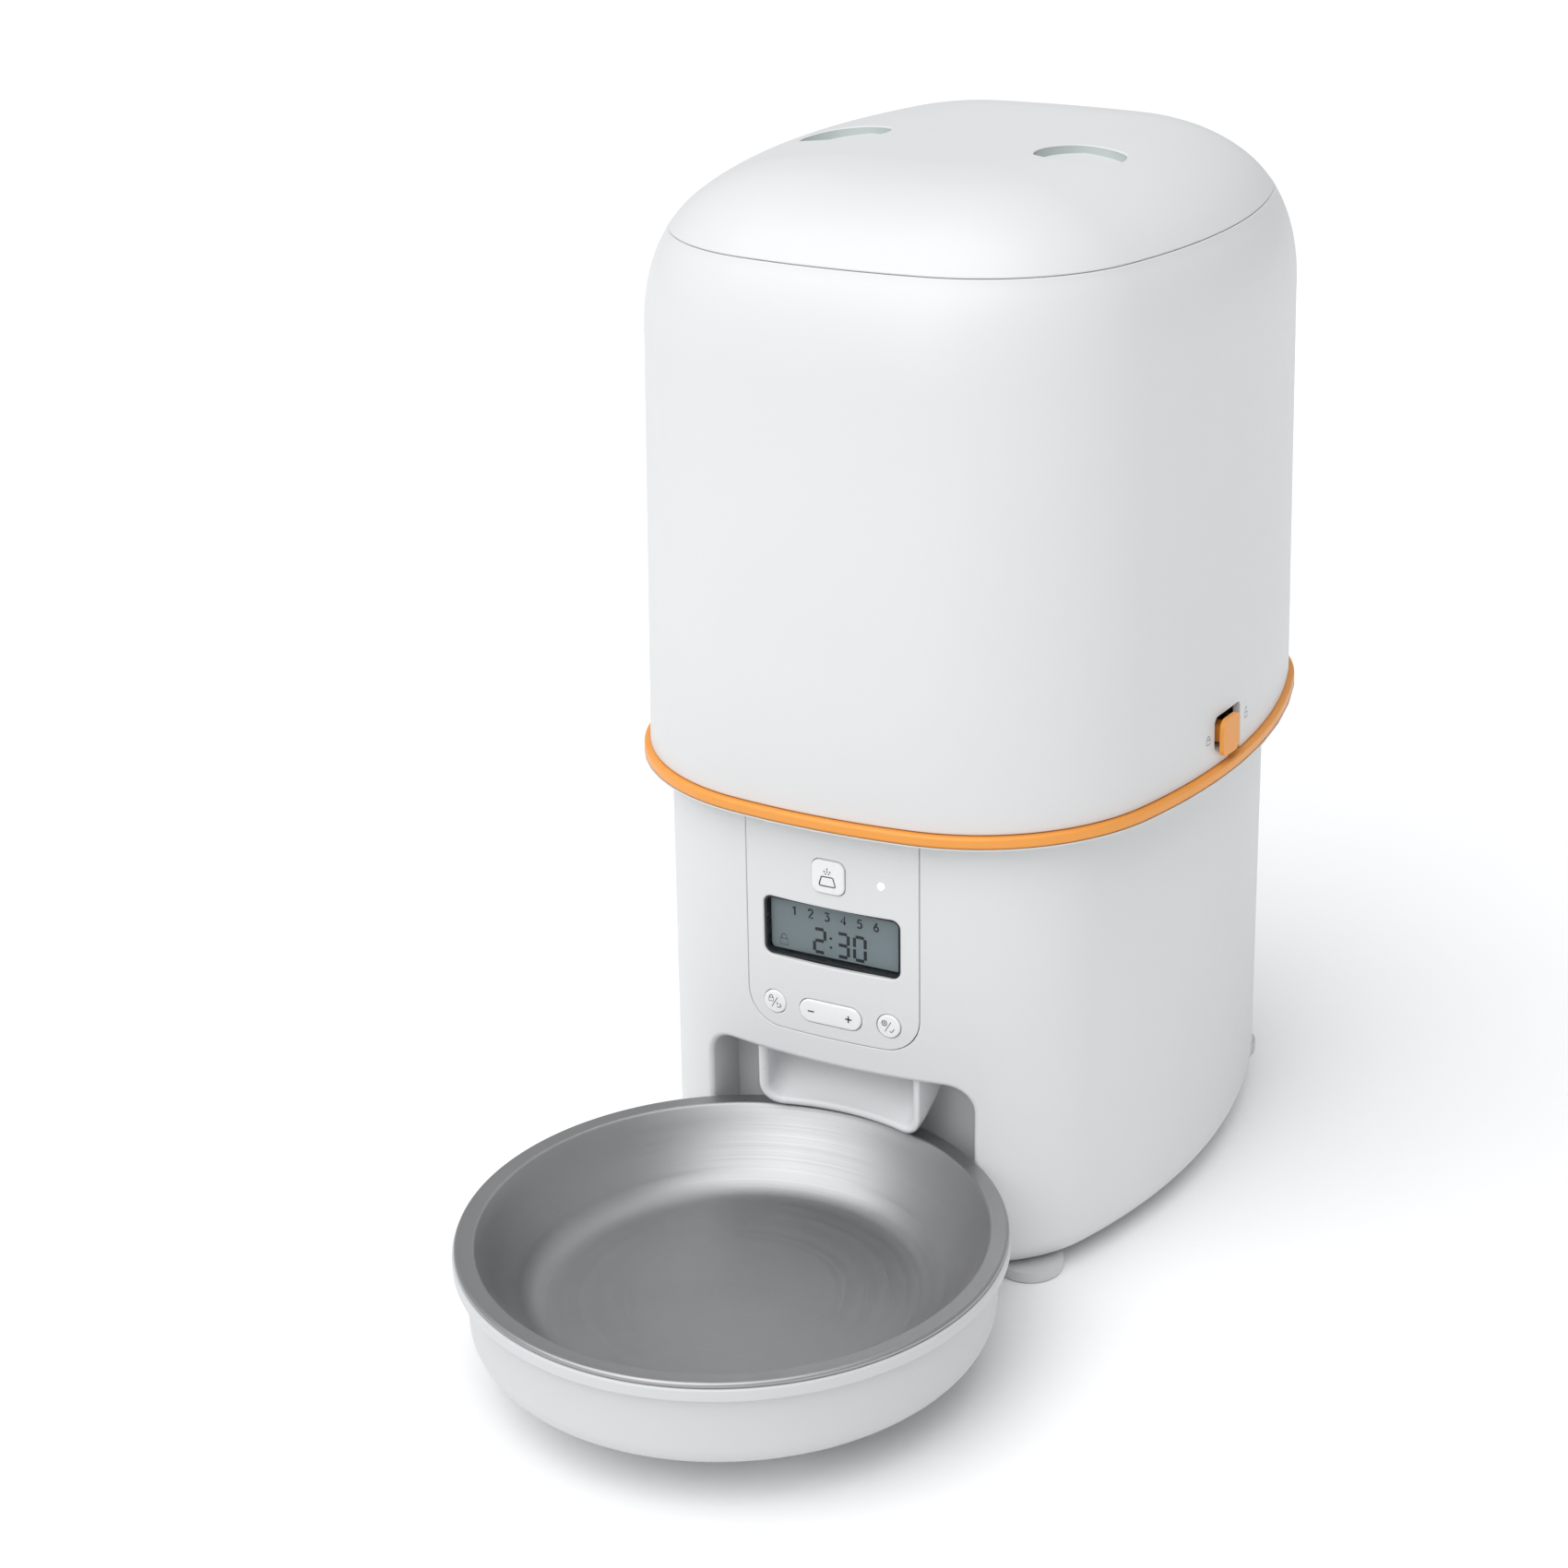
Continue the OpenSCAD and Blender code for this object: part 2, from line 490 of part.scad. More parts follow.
// shoulder: superellipse of width r_h and height r_v, thinned by k towards the inside
pw = 2 / 2.4;
function sh(a, k) = [u_s - k - (r_h - k) * (1 - pow(cos(a), pw)), z_s + (r_v - k) * pow(sin(a), pw)];
function sh_z(z, k) = u_s - k - (r_h - k) * (1 - pow(1 - pow((z - z_s) / (r_v - k), 2.4), 1 / 2.4));
z_t = z_seam - 0.2;
hopper_path = [
  [u_h - t, z_h0], [u_h, z_h0], [u_s, z_s],
  [sh_z(z_s + 10, 0), z_s + 10], [sh_z(z_s + 18, 0), z_s + 18], [sh_z(z_s + 24, 0), z_s + 24],
  [sh_z(z_s + 29, 0), z_s + 29], [sh_z(z_t, 0), z_t],
  [-20.6, z_t], [-20.6, z_t - 10], [-18.8, z_t - 10], [-18.8, z_t - 2.2],
  [sh_z(z_t - 2.2, t) + 0.5, z_t - 2.2], [sh_z(z_s + 24, t), z_s + 24],
  [sh_z(z_s + 16, t), z_s + 16], [u_s - t, z_s]];
module hopper() color(white) difference() {
  loft(RO, hopper_path);
  // L-shaped lock slot in the right wall
  box(70, 120, ly - 5.8, ly + 12.2, z_h0 + 5, z_h0 + 15.6);
  box(70, 120, ly + 3.1, ly + 12.2, z_h0 - 1, z_h0 + 8);
}
module hopper_funnel() color([0.9, 0.91, 0.92]) union() {
  intersection() {
    translate([0, ry, 0]) rotate_extrude() polygon([[44.6, z_h0 + 34], [170, z_h0 + 34 + 0.7 * 125.4],
      [170, z_h0 + 36.4 + 0.7 * 125.4], [44.6, z_h0 + 36.4]]);
    slab(RO, u_s - t - 0.5, z_h0, z_s - 4);
  }
  translate([0, ry, 0]) rotate_extrude() translate([48.3, z_h0 + 26]) square([1.8, 12]);
}
hz = z_h0 + 0.1;
module rotor_housing() color([0.9, 0.91, 0.92]) difference() {
  union() {
    tube(0, ry, hz, hz + 33.6, 48);
    slab(RO, u_h - t - 0.5, hz + 2, hz + 4);
  }
  tube(0, ry, hz + 2.4, hz + 40, 46);
  tube(0, ry, hz - 1, hz + 5, 9.1);
  intersection() {
    tube(0, ry, hz - 1, hz + 5, 45);
    box(-23, 23, -72, -47.8, hz - 2, hz + 6);
  }
  difference() {
    slab(RO, -18, hz + 1, hz + 5);
    tube(0, ry, hz, hz + 6, 47);
    for (a = [0 : 60 : 300]) translate([0, ry, 0]) rotate([0, 0, a + 30]) box(0, 150, -5, 5, hz, hz + 6);
  }
  for (a = [30, 150, 210, 330]) translate([0, ry, 0]) rotate([0, 0, a]) tube(54, 0, hz - 1, hz + 6, 1.7);
  box(72, 100, ly - 9, ly + 16, hz, hz + 6);
}
module housing_screws() color(grey)
  for (a = [30, 150, 210, 330]) translate([0, ry, 0]) rotate([0, 0, a]) screw(54, 0, hz + 5.2, 1.9, 1.5);
module portion_rotor() color([0.55, 0.6, 0.62]) translate([0, ry, 0]) difference() {
  union() {
    tube(0, 0, hz + 0.1, hz + 28, 8.8);
    tube(0, 0, hz + 2.8, hz + 4.4, 14);
    for (i = [0 : vanes - 1]) rotate([0, 0, i * 360 / vanes + 90]) box(7, 45.4, -1.2, 1.2, hz + 2.8, hz + 26);
    translate([0, 0, hz + 28 - e]) cylinder(r1 = 8.8, r2 = 5, h = 5);
  }
  tube(0, 0, hz - 1, z_d1 + 4.4, 4.1);
  translate([0, 0, z_d1 + 4.3]) linear_extrude(7.4) circle(r = 4.12, $fn = 6);
  tube(0, 0, hz + 22, hz + 40, 2.05);
}
module outlet_cover() color([0.9, 0.91, 0.92]) intersection() {
  difference() {
    union() {
      tube(0, ry, hz + 27, hz + 28.6, 45.8);
      tube(0, ry, hz + 28, hz + 33, 45.8);
    }
    tube(0, ry, hz + 28.6, hz + 40, 43.8);
    tube(0, ry, hz + 20, hz + 40, 10);
  }
  translate([0, ry, hz + 20]) linear_extrude(30) polygon([[0, 0], [-60, -56], [-60, -90], [60, -90], [60, -56]]);
}
module outlet_wiper() color([0.35, 0.36, 0.38]) translate([0, ry, 0]) for (s = [-1, 1])
  rotate([0, 0, 270 + s * 46.97]) box(11, 43, s * 1.1 - 1, s * 1.1 + 1, hz + 26.2, hz + 31.2);
module agitator() color([0.95, 0.6, 0.2]) translate([0, ry, 0]) union() {
  tube(0, 0, hz + 23, hz + 52, 2);
  tube(0, 0, hz + 33.2, hz + 37, 4.6);
  for (a = [0, 180]) rotate([0, 0, a]) box(0, 30, -1.5, 1.5, hz + 42, hz + 45);
  rotate([0, 0, 90]) box(-14, 14, -1.5, 1.5, hz + 48, hz + 51);
}

// lid: continues the shoulder, with two finger pockets
rx = 38.4;
z_l = z_seam + 0.2;
lid_path = [
  [-58, body_h - t], [-50, body_h - crown * 0.4 - t], sh(78, t), sh(60, t), sh(48, t),
  [-24.2, z_l + 5], [-24.2, z_l - 9], [-22, z_l - 9], [-22, z_l],
  [sh_z(z_l, 0), z_l], [sh_z(z_l + 4, 0), z_l + 4], [sh_z(z_l + 8, 0), z_l + 8], sh(60, 0), sh(70, 0), sh(80, 0),
  [-50, body_h - crown * 0.45], [-58, body_h]];
// eye-shaped finger pocket: two arcs meeting in points
module pocket(g, z0, z1) {
  for (s = [-1, 1]) translate([s * rx, ey, 0]) rotate([0, 0, 45]) intersection() {
    tube(0, -4.06, z0, z1, 15.06 + g);
    tube(0, 4.06, z0, z1, 15.06 + g);
  }
}
ey = -14;
module lid() color(white) difference() {
  union() {
    loft(RO, lid_path, false);
    pocket(1.8, body_h - 13, body_h - 3.6);
  }
  pocket(0, body_h - 11, body_h + 5);
}
module lid_seal() color([0.75, 0.77, 0.78]) difference() {
  slab(RO, -20.8, z_seam - 5.6, z_seam - 3.2);
  slab(RO, -21.95, z_seam - 7, z_seam - 2);
}
module desiccant_box() color([0.92, 0.93, 0.94]) difference() {
  union() {
    box(-28, 28, 18, 60, body_h - 20, body_h - 4.4);
  }
  box(-26.4, 26.4, 19.6, 58.4, body_h - 21, body_h - 6);
}
module desiccant_cover() color([0.92, 0.93, 0.94]) difference() {
  box(-27.9, 27.9, 18.1, 59.9, body_h - 21.8, body_h - 20.1);
  for (i = [-4 : 4], j = [-3 : 3]) translate([i * 5.6, 39 + j * 5.6, body_h - 23]) cylinder(r = 1.4, h = 5);
}

// bowl and tray
bz = bowl_z;
module feeding_bowl() color([0.7, 0.71, 0.72]) translate([0, by, 0]) rotate_extrude() union() {
  polygon([[0, bz - 23], [51.2, bz - 23], [57.6, bz - 22], [62.4, bz - 19.4], [65.6, bz - 15.6], [74.4, bz - 0.8],
    [bowl_r - 0.8, bz - 0.8], [bowl_r - 0.8, bz], [74, bz], [73.6, bz - 0.4], [64.8, bz - 15.2],
    [61.8, bz - 18.8], [57.2, bz - 21.2], [51, bz - 22.2], [0, bz - 22.2]]);
  translate([bowl_r - 0.9, bz - 0.9]) circle(r = 0.9);
}
module bowl_tray() color(white) difference() {
  union() {
    translate([0, by, 0]) rotate_extrude() difference() {
      union() {
        polygon([[0, tray_z], [bowl_r - 10.6, tray_z], [bowl_r - 3.2, tray_z + 7.4], [bowl_r - 2.6, bz - 5.2],
          [bowl_r - 2.6, bz - 2], [0, bz - 2]]);
        translate([bowl_r - 10.6, tray_z + 7.4]) circle(r = 7.4);
        polygon([[70, bz - 6], [bowl_r + 0.2, bz - 6], [bowl_r + 0.6, bz - 5.5], [bowl_r + 0.6, bz - 2.3], [bowl_r + 0.3, bz - 2], [70, bz - 2]]);
      }
      polygon([[-1, tray_z + 2.4], [68, tray_z + 2.4], [73, tray_z + 7.4], [75.2, bz - 1], [-1, bz - 1]]);
    }
    box(-14, 14, alc_y - 16, alc_y + 8, tray_z + 2.2, tray_z + 5.4);
    box(-14, 14, alc_y + 5.6, alc_y + 8, tray_z + 2.2, tray_z + 7.6);
    for (a = [45 : 90 : 315]) translate([0, by, 0]) rotate([0, 0, a]) tube(44, 0, 1.6, tray_z + e, 9);
  }
  translate([0, by, tray_z + 2.4]) cylinder(r = 66, h = 20);
}
module tray_pads() color([0.5, 0.5, 0.5]) for (a = [45 : 90 : 315]) translate([0, by, 0]) rotate([0, 0, a])
  tube(44, 0, 0, 1.6 - 0.02, 7.5);

base_shell();
base_bottom();
feet();
bottom_screws();
front_panel();
display_bezel();
display_window();
lcd_module();
led_lens();
feed_button();
lock_button();
minus_plus_rocker();
settings_button();
control_board();
tact_switches();
board_screws();
deck();
accent_ring();
output_bush();
gearbox_case();
gearbox_screws();
drive_motor();
motor_pinion();
idler_axle();
idler_gear();
output_gear();
dc_inlet();
food_chute();
chute_screws();
lock_slider();
battery_door();
battery_springs();
battery_contacts();
hopper();
hopper_funnel();
rotor_housing();
housing_screws();
outlet_cover();
outlet_wiper();
portion_rotor();
agitator();
lid();
lid_seal();
desiccant_box();
desiccant_cover();
feeding_bowl();
bowl_tray();
tray_pads();
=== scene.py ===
import json
import math

import bmesh
import bpy
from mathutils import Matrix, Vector
from mathutils.geometry import delaunay_2d_cdt


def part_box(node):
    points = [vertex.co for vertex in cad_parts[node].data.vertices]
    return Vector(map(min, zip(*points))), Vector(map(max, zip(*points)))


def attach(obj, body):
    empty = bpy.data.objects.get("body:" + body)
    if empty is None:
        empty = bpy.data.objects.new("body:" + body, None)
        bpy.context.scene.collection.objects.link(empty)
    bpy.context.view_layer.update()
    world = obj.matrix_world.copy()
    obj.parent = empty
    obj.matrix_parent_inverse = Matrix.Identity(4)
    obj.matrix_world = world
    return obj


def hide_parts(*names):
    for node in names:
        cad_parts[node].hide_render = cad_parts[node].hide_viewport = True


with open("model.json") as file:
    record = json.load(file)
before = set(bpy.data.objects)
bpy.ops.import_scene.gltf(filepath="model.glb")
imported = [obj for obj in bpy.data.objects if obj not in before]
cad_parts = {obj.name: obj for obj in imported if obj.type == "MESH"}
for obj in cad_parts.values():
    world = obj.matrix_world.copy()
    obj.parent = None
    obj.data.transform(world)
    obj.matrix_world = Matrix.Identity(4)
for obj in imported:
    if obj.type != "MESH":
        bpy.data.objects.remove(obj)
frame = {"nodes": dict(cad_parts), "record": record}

# Lengths are millimetres until a mesh is made. The front faces -Y.
MM = 0.001
QUARTER = math.pi / 2
TRACK_STEPS = 8                      # pieces in each rounded corner of a track
FILLET_STEPS = 5                     # pieces in the rounded edge of a sheet or a key
CAP_STEPS = 6                        # rings in the closed end of a shell
TAIL = 600                           # depth that marks points for wall_place's tail
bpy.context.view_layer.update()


def span(node):
    """Lowest and highest corner of a CAD node, in millimetres."""
    lo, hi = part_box(node)
    return [c / MM for c in lo], [c / MM for c in hi]


# ---- places, from the frame
ring_lo, ring_hi = span("accent_ring")
base_lo, base_hi = span("base_shell")
hopper_lo, hopper_hi = span("hopper")
bowl_lo, bowl_hi = span("feeding_bowl")
slider_lo = span("lock_slider")[0]


def centre(node):
    lo, hi = span(node)
    return [(a + b) / 2 for a, b in zip(lo, hi)]


body_top = span("lid")[1][2]
half_w, half_d = ring_hi[0], ring_hi[1]
base_z0, base_z1 = base_lo[2], base_hi[2]
hopper_z0, seam_z = hopper_lo[2], hopper_hi[2]
bowl_r, bowl_z = bowl_hi[0], bowl_hi[2]
bowl_y = (bowl_lo[1] + bowl_hi[1]) / 2
tray_z = bowl_z - 31.3
alcove_w, alcove_z, alcove_y, alcove_r = 45.5, base_z1 - 78.5, -82, 9
spout_z = bowl_z + 1.4               # underside of the spout's lip
wall = 2.4


# ---- outlines and profiles
class Outline:
    """Closed outline of eight tangent arcs. s runs from the middle of the front towards +X and round."""

    def __init__(self, a, b, bow, corner):
        fy, sx = bow - b, a - bow
        d = math.hypot(sx, fy)
        h = math.sqrt((bow - corner) ** 2 - d * d / 4)
        cx, cy = sx / 2 + h * fy / d, fy / 2 + h * sx / d
        hf, hs = math.atan2(cx, fy - cy), math.atan2(-cy, cx - sx)
        q = QUARTER
        self.arcs = [
            (0, fy, bow, -q, hf - q), (cx, cy, corner, hf - q, -hs), (sx, 0, bow, -hs, hs),
            (cx, -cy, corner, hs, q - hf), (0, -fy, bow, q - hf, q + hf),
            (-cx, -cy, corner, q + hf, 2 * q - hs), (-sx, 0, bow, 2 * q - hs, 2 * q + hs),
            (-cx, cy, corner, 2 * q + hs, 3 * q - hf), (0, fy, bow, 3 * q - hf, 3 * q)]
        self.starts = [0]
        for _, _, r, a0, a1 in self.arcs:
            self.starts.append(self.starts[-1] + r * (a1 - a0))
        self.length = self.starts[-1]
        self.side = (self.starts[2] + self.starts[3]) / 2   # middle of the right side
        self.bow, self.corner = bow, corner
        self.cx, self.cy, self.fy, self.sx = cx, cy, fy, sx   # arc centres

    def at(self, s, grow=0.0):
        """Point and outward direction at s, on the outline grown by grow."""
        s = s % self.length
        k = max(i for i in range(9) if self.starts[i] <= s + 1e-9)
        x, y, r, a0, _ = self.arcs[k]
        a = a0 + (s - self.starts[k]) / r
        return x + (r + grow) * math.cos(a), y + (r + grow) * math.sin(a), math.cos(a), math.sin(a)

    def stops(self, fine=2.2, coarse=4.0):
        """Columns round the whole outline: closer together on the corners."""
        found = []
        for k in range(9):
            size = self.starts[k + 1] - self.starts[k]
            n = max(1, math.ceil(size / (fine if self.arcs[k][2] == self.corner else coarse)))
            found += [self.starts[k] + size * i / n for i in range(n)]
        return found

    def front_s(self, x):
        return self.bow * math.asin(x / self.bow)

    def side_s(self, y):
        return self.side + self.bow * math.asin(y / self.bow)

    def depth(self, x, y):
        """Distance inside the outline, and the outward direction there."""
        ax, ay = abs(x), -abs(y)
        px, py, r = self.cx, self.cy, self.corner
        if ax * (self.fy - self.cy) < self.cx * (self.fy - ay):
            px, py, r = 0, self.fy, self.bow
        elif -ay * (self.cx - self.sx) < -self.cy * (ax - self.sx):
            px, py, r = self.sx, 0, self.bow
        dx, dy = ax - px, ay - py
        d = math.hypot(dx, dy) or 1e-6
        return r - d, dx / d * math.copysign(1, x), -dy / d * math.copysign(1, y)


class Profile:
    """Side view of a wall as (offset from the outline, height) points, running upwards on the outside."""

    def __init__(self, points):
        self.points = points
        self.v = [0]
        for (a, b), (c, d) in zip(points, points[1:]):
            self.v.append(self.v[-1] + math.hypot(c - a, d - b))
        normals = []
        for (a, b), (c, d) in zip(points, points[1:]):
            size = math.hypot(c - a, d - b)
            normals.append(((d - b) / size, (a - c) / size))
        self.normals = [normals[0]]
        for m, n in zip(normals, normals[1:]):
            size = math.hypot(m[0] + n[0], m[1] + n[1])
            self.normals.append(((m[0] + n[0]) / size, (m[1] + n[1]) / size))
        self.normals.append(normals[-1])

    def at(self, v):
        k = 0
        while k < len(self.v) - 2 and self.v[k + 1] < v:
            k += 1
        t = (v - self.v[k]) / (self.v[k + 1] - self.v[k])
        here, after = self.points[k] + self.normals[k], self.points[k + 1] + self.normals[k + 1]
        return [a + (b - a) * t for a, b in zip(here, after)]

    def height(self, z, start=0):
        """v at height z, looked for from point number start upwards."""
        for k in range(start, len(self.points) - 1):
            a, b = self.points[k][1], self.points[k + 1][1]
            if a <= z <= b and b > a:
                return self.v[k] + (z - a) / (b - a) * (self.v[k + 1] - self.v[k])
        raise ValueError(z)


def arc(cx, cy, r, a0, a1, n):
    """Points on an arc, angles in degrees, both ends included."""
    return [(cx + r * math.cos(math.radians(a0 + (a1 - a0) * i / n)),
             cy + r * math.sin(math.radians(a0 + (a1 - a0) * i / n))) for i in range(n + 1)]


def track(corners, grow, closed=True):
    """Rounded path through corners (x, y, radius), counterclockwise, moved outwards by grow."""
    n = len(corners)
    segments = []
    for i in range(n if closed else n - 1):
        a, b = corners[i], corners[(i + 1) % n]
        size = math.hypot(b[0] - a[0], b[1] - a[1])
        d = ((b[0] - a[0]) / size, (b[1] - a[1]) / size)
        segments.append((a[0] + d[1] * grow, a[1] - d[0] * grow, d[0], d[1], size))
    points = []
    if not closed:
        points.append(segments[0][:2])
    for i in range(n) if closed else range(1, n - 1):
        p, q = segments[i - 1], segments[i % len(segments)]
        turn = p[2] * q[3] - p[3] * q[2]
        t = ((q[0] - p[0]) * q[3] - (q[1] - p[1]) * q[2]) / turn
        x, y = p[0] + p[2] * t, p[1] + p[3] * t
        r = corners[i][2] + (grow if turn > 0 else -grow)
        if corners[i][2] <= 0 or r <= 0.01:
            points.append((x, y))
            continue
        half = math.atan2(abs(turn), p[2] * q[2] + p[3] * q[3]) / 2
        back = r * math.tan(half)
        sign = 1 if turn > 0 else -1
        cx, cy = x - p[2] * back - sign * p[3] * r, y - p[3] * back + sign * p[2] * r
        a0 = math.atan2(y - p[3] * back - cy, x - p[2] * back - cx)
        for k in range(TRACK_STEPS + 1):
            a = a0 + sign * 2 * half * k / TRACK_STEPS
            points.append((cx + r * math.cos(a), cy + r * math.sin(a)))
    if not closed:
        last = segments[-1]
        points.append((last[0] + last[2] * last[4], last[1] + last[3] * last[4]))
    return points


def rounded(cx, cy, w, h, r):
    """Outline function of a rounded rectangle, for rims."""
    corners = [(cx + sx * w / 2, cy + sy * h / 2, r) for sx, sy in ((-1, -1), (1, -1), (1, 1), (-1, 1))]
    return lambda g: track(corners, g)


def circle(cx, cy, r, n=48):
    turns = [2 * math.pi * k / n for k in range(n)]
    return lambda g: [(cx + (r + g) * math.cos(a), cy + (r + g) * math.sin(a)) for a in turns]


# ---- making meshes
def new_piece(name, verts, faces, body, material, slot, replaced=(), normals=None, sharp=35, weighted=True):
    """Mesh object from millimetre points, riding on a CAD body."""
    mesh = bpy.data.meshes.new(name)
    mesh.from_pydata([(x * MM, y * MM, z * MM) for x, y, z in verts], [], faces)
    mesh.validate()
    mesh.shade_smooth()
    if normals:
        mesh.normals_split_custom_set_from_vertices(normals)
    elif sharp:
        mesh.set_sharp_from_angle(angle=math.radians(sharp))
    obj = bpy.data.objects.new(name, mesh)
    bpy.context.scene.collection.objects.link(obj)
    if weighted and not normals:
        modifier = obj.modifiers.new("even_normals", "WEIGHTED_NORMAL")
        modifier.keep_sharp = True
    mesh.materials.append(material)
    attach(obj, body)
    if replaced:
        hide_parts(*replaced)
    return obj


def grid_faces(rows, columns, wrap_rows=False, wrap_columns=True):
    faces = []
    for j in range(rows if wrap_rows else rows - 1):
        for i in range(columns if wrap_columns else columns - 1):
            a, b = j * columns, (j + 1) % rows * columns
            k = (i + 1) % columns
            faces.append((a + i, a + k, b + k, b + i))
    return faces


def ring_shell(name, outline, path, closed=True, cap_start=None, cap_end=None, **made):
    """Shell swept round an outline along a path of (offset, height). cap_start and cap_end close it towards the
    centre, with the height of the middle."""
    stops = outline.stops()
    n = len(stops)
    verts = []
    for u, z in path:
        verts += [(*outline.at(s, u)[:2], z) for s in stops]
    rows = len(path)
    faces = grid_faces(rows, n, wrap_rows=closed)
    for cap, row, flip in ((cap_start, 0, False), (cap_end, rows - 1, True)):
        if cap is None:
            continue
        u, z = path[row]
        rim = [outline.at(s, u)[:2] for s in stops]
        last = [row * n + i for i in range(n)]
        for k in range(1, CAP_STEPS):
            share = 1 - k / CAP_STEPS
            height = cap + (z - cap) * share ** 2
            fresh = list(range(len(verts), len(verts) + n))
            verts += [(x * share, y * share, height) for x, y in rim]
            for i in range(n):
                quad = (last[i], last[(i + 1) % n], fresh[(i + 1) % n], fresh[i])
                faces.append(quad if flip else quad[::-1])
            last = fresh
        middle = len(verts)
        verts.append((0, 0, cap))
        for i in range(n):
            a, b = last[i], last[(i + 1) % n]
            faces.append((a, b, middle) if flip else (b, a, middle))
    return new_piece(name, verts, faces, **made)


def lathe(name, x, y, path, closed=True, n=160, **made):
    """Surface of revolution about a vertical axis at (x, y). path is (radius, height)."""
    verts, rows = [], []
    turns = [2 * math.pi * i / n for i in range(n)]
    for r, z in path:
        if r < 1e-6:
            rows.append([len(verts)] * n)
            verts.append((x, y, z))
        else:
            rows.append(list(range(len(verts), len(verts) + n)))
            verts += [(x + r * math.cos(a), y + r * math.sin(a), z) for a in turns]
    faces = []
    for j in range(len(rows) if closed else len(rows) - 1):
        a, b = rows[j], rows[(j + 1) % len(rows)]
        for i in range(n):
            k = (i + 1) % n
            quad = []
            for v in (a[i], a[k], b[k], b[i]):
                if v not in quad:
                    quad.append(v)
            if len(quad) > 2:
                faces.append(tuple(quad))
    return new_piece(name, verts, faces, **made)


def sheet(name, loops, rims, cuts, place, **made):
    """Skin drawn flat and then bent by place(a, b, depth) -> (point, normal).

    rims are (outline function of growth, fillet radius, further depths, closed): each turns in at a hole or notch.
    loops(first rows of the rims) gives the boundary loops of the flat area, as flat points or those vertices.
    cuts are two lists of flat coordinates at which the skin is divided, so that it bends smoothly."""
    bm = bmesh.new()
    first = []
    for shape, radius, depths, closed in rims:
        rows = []
        for k in range(FILLET_STEPS + 1):
            a = QUARTER * k / FILLET_STEPS
            sunk = radius * (1 - math.cos(a))
            rows.append([bm.verts.new((x, y, sunk)) for x, y in shape(radius * (1 - math.sin(a)))])
        for d in depths:
            rows.append([bm.verts.new((x, y, d)) for x, y in shape(0)])
        n = len(rows[0])
        for a, b in zip(rows, rows[1:]):
            for i in range(n if closed else n - 1):
                bm.faces.new((a[i], a[(i + 1) % n], b[(i + 1) % n], b[i]))
        first.append(rows[0])
    corners, edges = [], []
    for loop in loops(first):
        ring = [v if isinstance(v, bmesh.types.BMVert) else bm.verts.new((v[0], v[1], 0)) for v in loop]
        start = len(corners)
        corners += ring
        edges += [(start + i, start + (i + 1) % len(ring)) for i in range(len(ring))]
    filled = delaunay_2d_cdt([v.co.xy for v in corners], edges, [], 0, 1e-5)
    flat = [corners[came[0]] if came else bm.verts.new((*co, 0)) for co, came in zip(filled[0], filled[3])]
    for face in filled[2]:
        middle = sum((filled[0][k] for k in face), Vector((0, 0))) / 3
        crossed = 0
        for a, b in edges:
            (ax, ay), (bx, by) = corners[a].co.xy, corners[b].co.xy
            spans = (ay > middle.y) != (by > middle.y)
            if spans and middle.x < ax + (middle.y - ay) / (by - ay) * (bx - ax):
                crossed += 1
        if crossed % 2:
            bm.faces.new([flat[k] for k in face])
    for axis, values in enumerate(cuts):
        for value in values:
            bmesh.ops.bisect_plane(bm, geom=bm.verts[:] + bm.edges[:] + bm.faces[:], dist=2e-3,
                                   plane_co=[value, 0, 0] if axis == 0 else [0, value, 0],
                                   plane_no=[1, 0, 0] if axis == 0 else [0, 1, 0])
    bmesh.ops.recalc_face_normals(bm, faces=bm.faces)
    bm.verts.index_update()
    points, normals = [], []
    for v in bm.verts:
        point, normal = place(*v.co)
        points.append(point)
        normals.append(normal if v.co.z < 1e-5 else (0, 0, 0))
    faces = [[v.index for v in f.verts] for f in bm.faces]
    flat = next(f for f in bm.faces if f.calc_area() > 0.5 and all(v.co.z < 1e-5 for v in f.verts))
    a, b, c = (Vector(points[v.index]) for v in flat.verts[:3])
    if (b - a).cross(c - a).dot(Vector(normals[flat.verts[0].index])) < 0:
        faces = [f[::-1] for f in faces]
    bm.free()
    return new_piece(name, points, faces, normals=normals, **made)


def wall_place(outline, profile, tail=None):
    """place() for a wall: s along the outline, v along the profile, depth inwards. A depth of TAIL is a flag: the
    point is taken from the wall's face to wherever tail(x, y, z) says."""

    def place(s, v, depth):
        u, z, nu, nz = profile.at(v)
        far = depth > TAIL / 2
        d = 0 if far else depth
        x, y, nx, ny = outline.at(s, u - d * nu)
        point = (x, y, z - d * nz)
        return (tail(*point) if far else point), (nx * nu, ny * nu, nz)

    return place


# ---- materials
def graph(name):
    material = bpy.data.materials.new(name)
    material.use_nodes = True
    nodes, links = material.node_tree.nodes, material.node_tree.links
    return material, nodes, links, nodes["Principled BSDF"]


def noise(nodes, links, vector, scale, detail=3.0, rough=0.55):
    n = nodes.new("ShaderNodeTexNoise")
    n.inputs["Scale"].default_value = scale
    n.inputs["Detail"].default_value = detail
    n.inputs["Roughness"].default_value = rough
    links.new(vector, n.inputs["Vector"])
    return n.outputs["Fac"]


def remap(nodes, links, value, low, high, start=0.3, stop=0.7):
    m = nodes.new("ShaderNodeMapRange")
    for socket, number in (("From Min", start), ("From Max", stop), ("To Min", low), ("To Max", high)):
        m.inputs[socket].default_value = number
    links.new(value, m.inputs["Value"])
    return m.outputs["Result"]


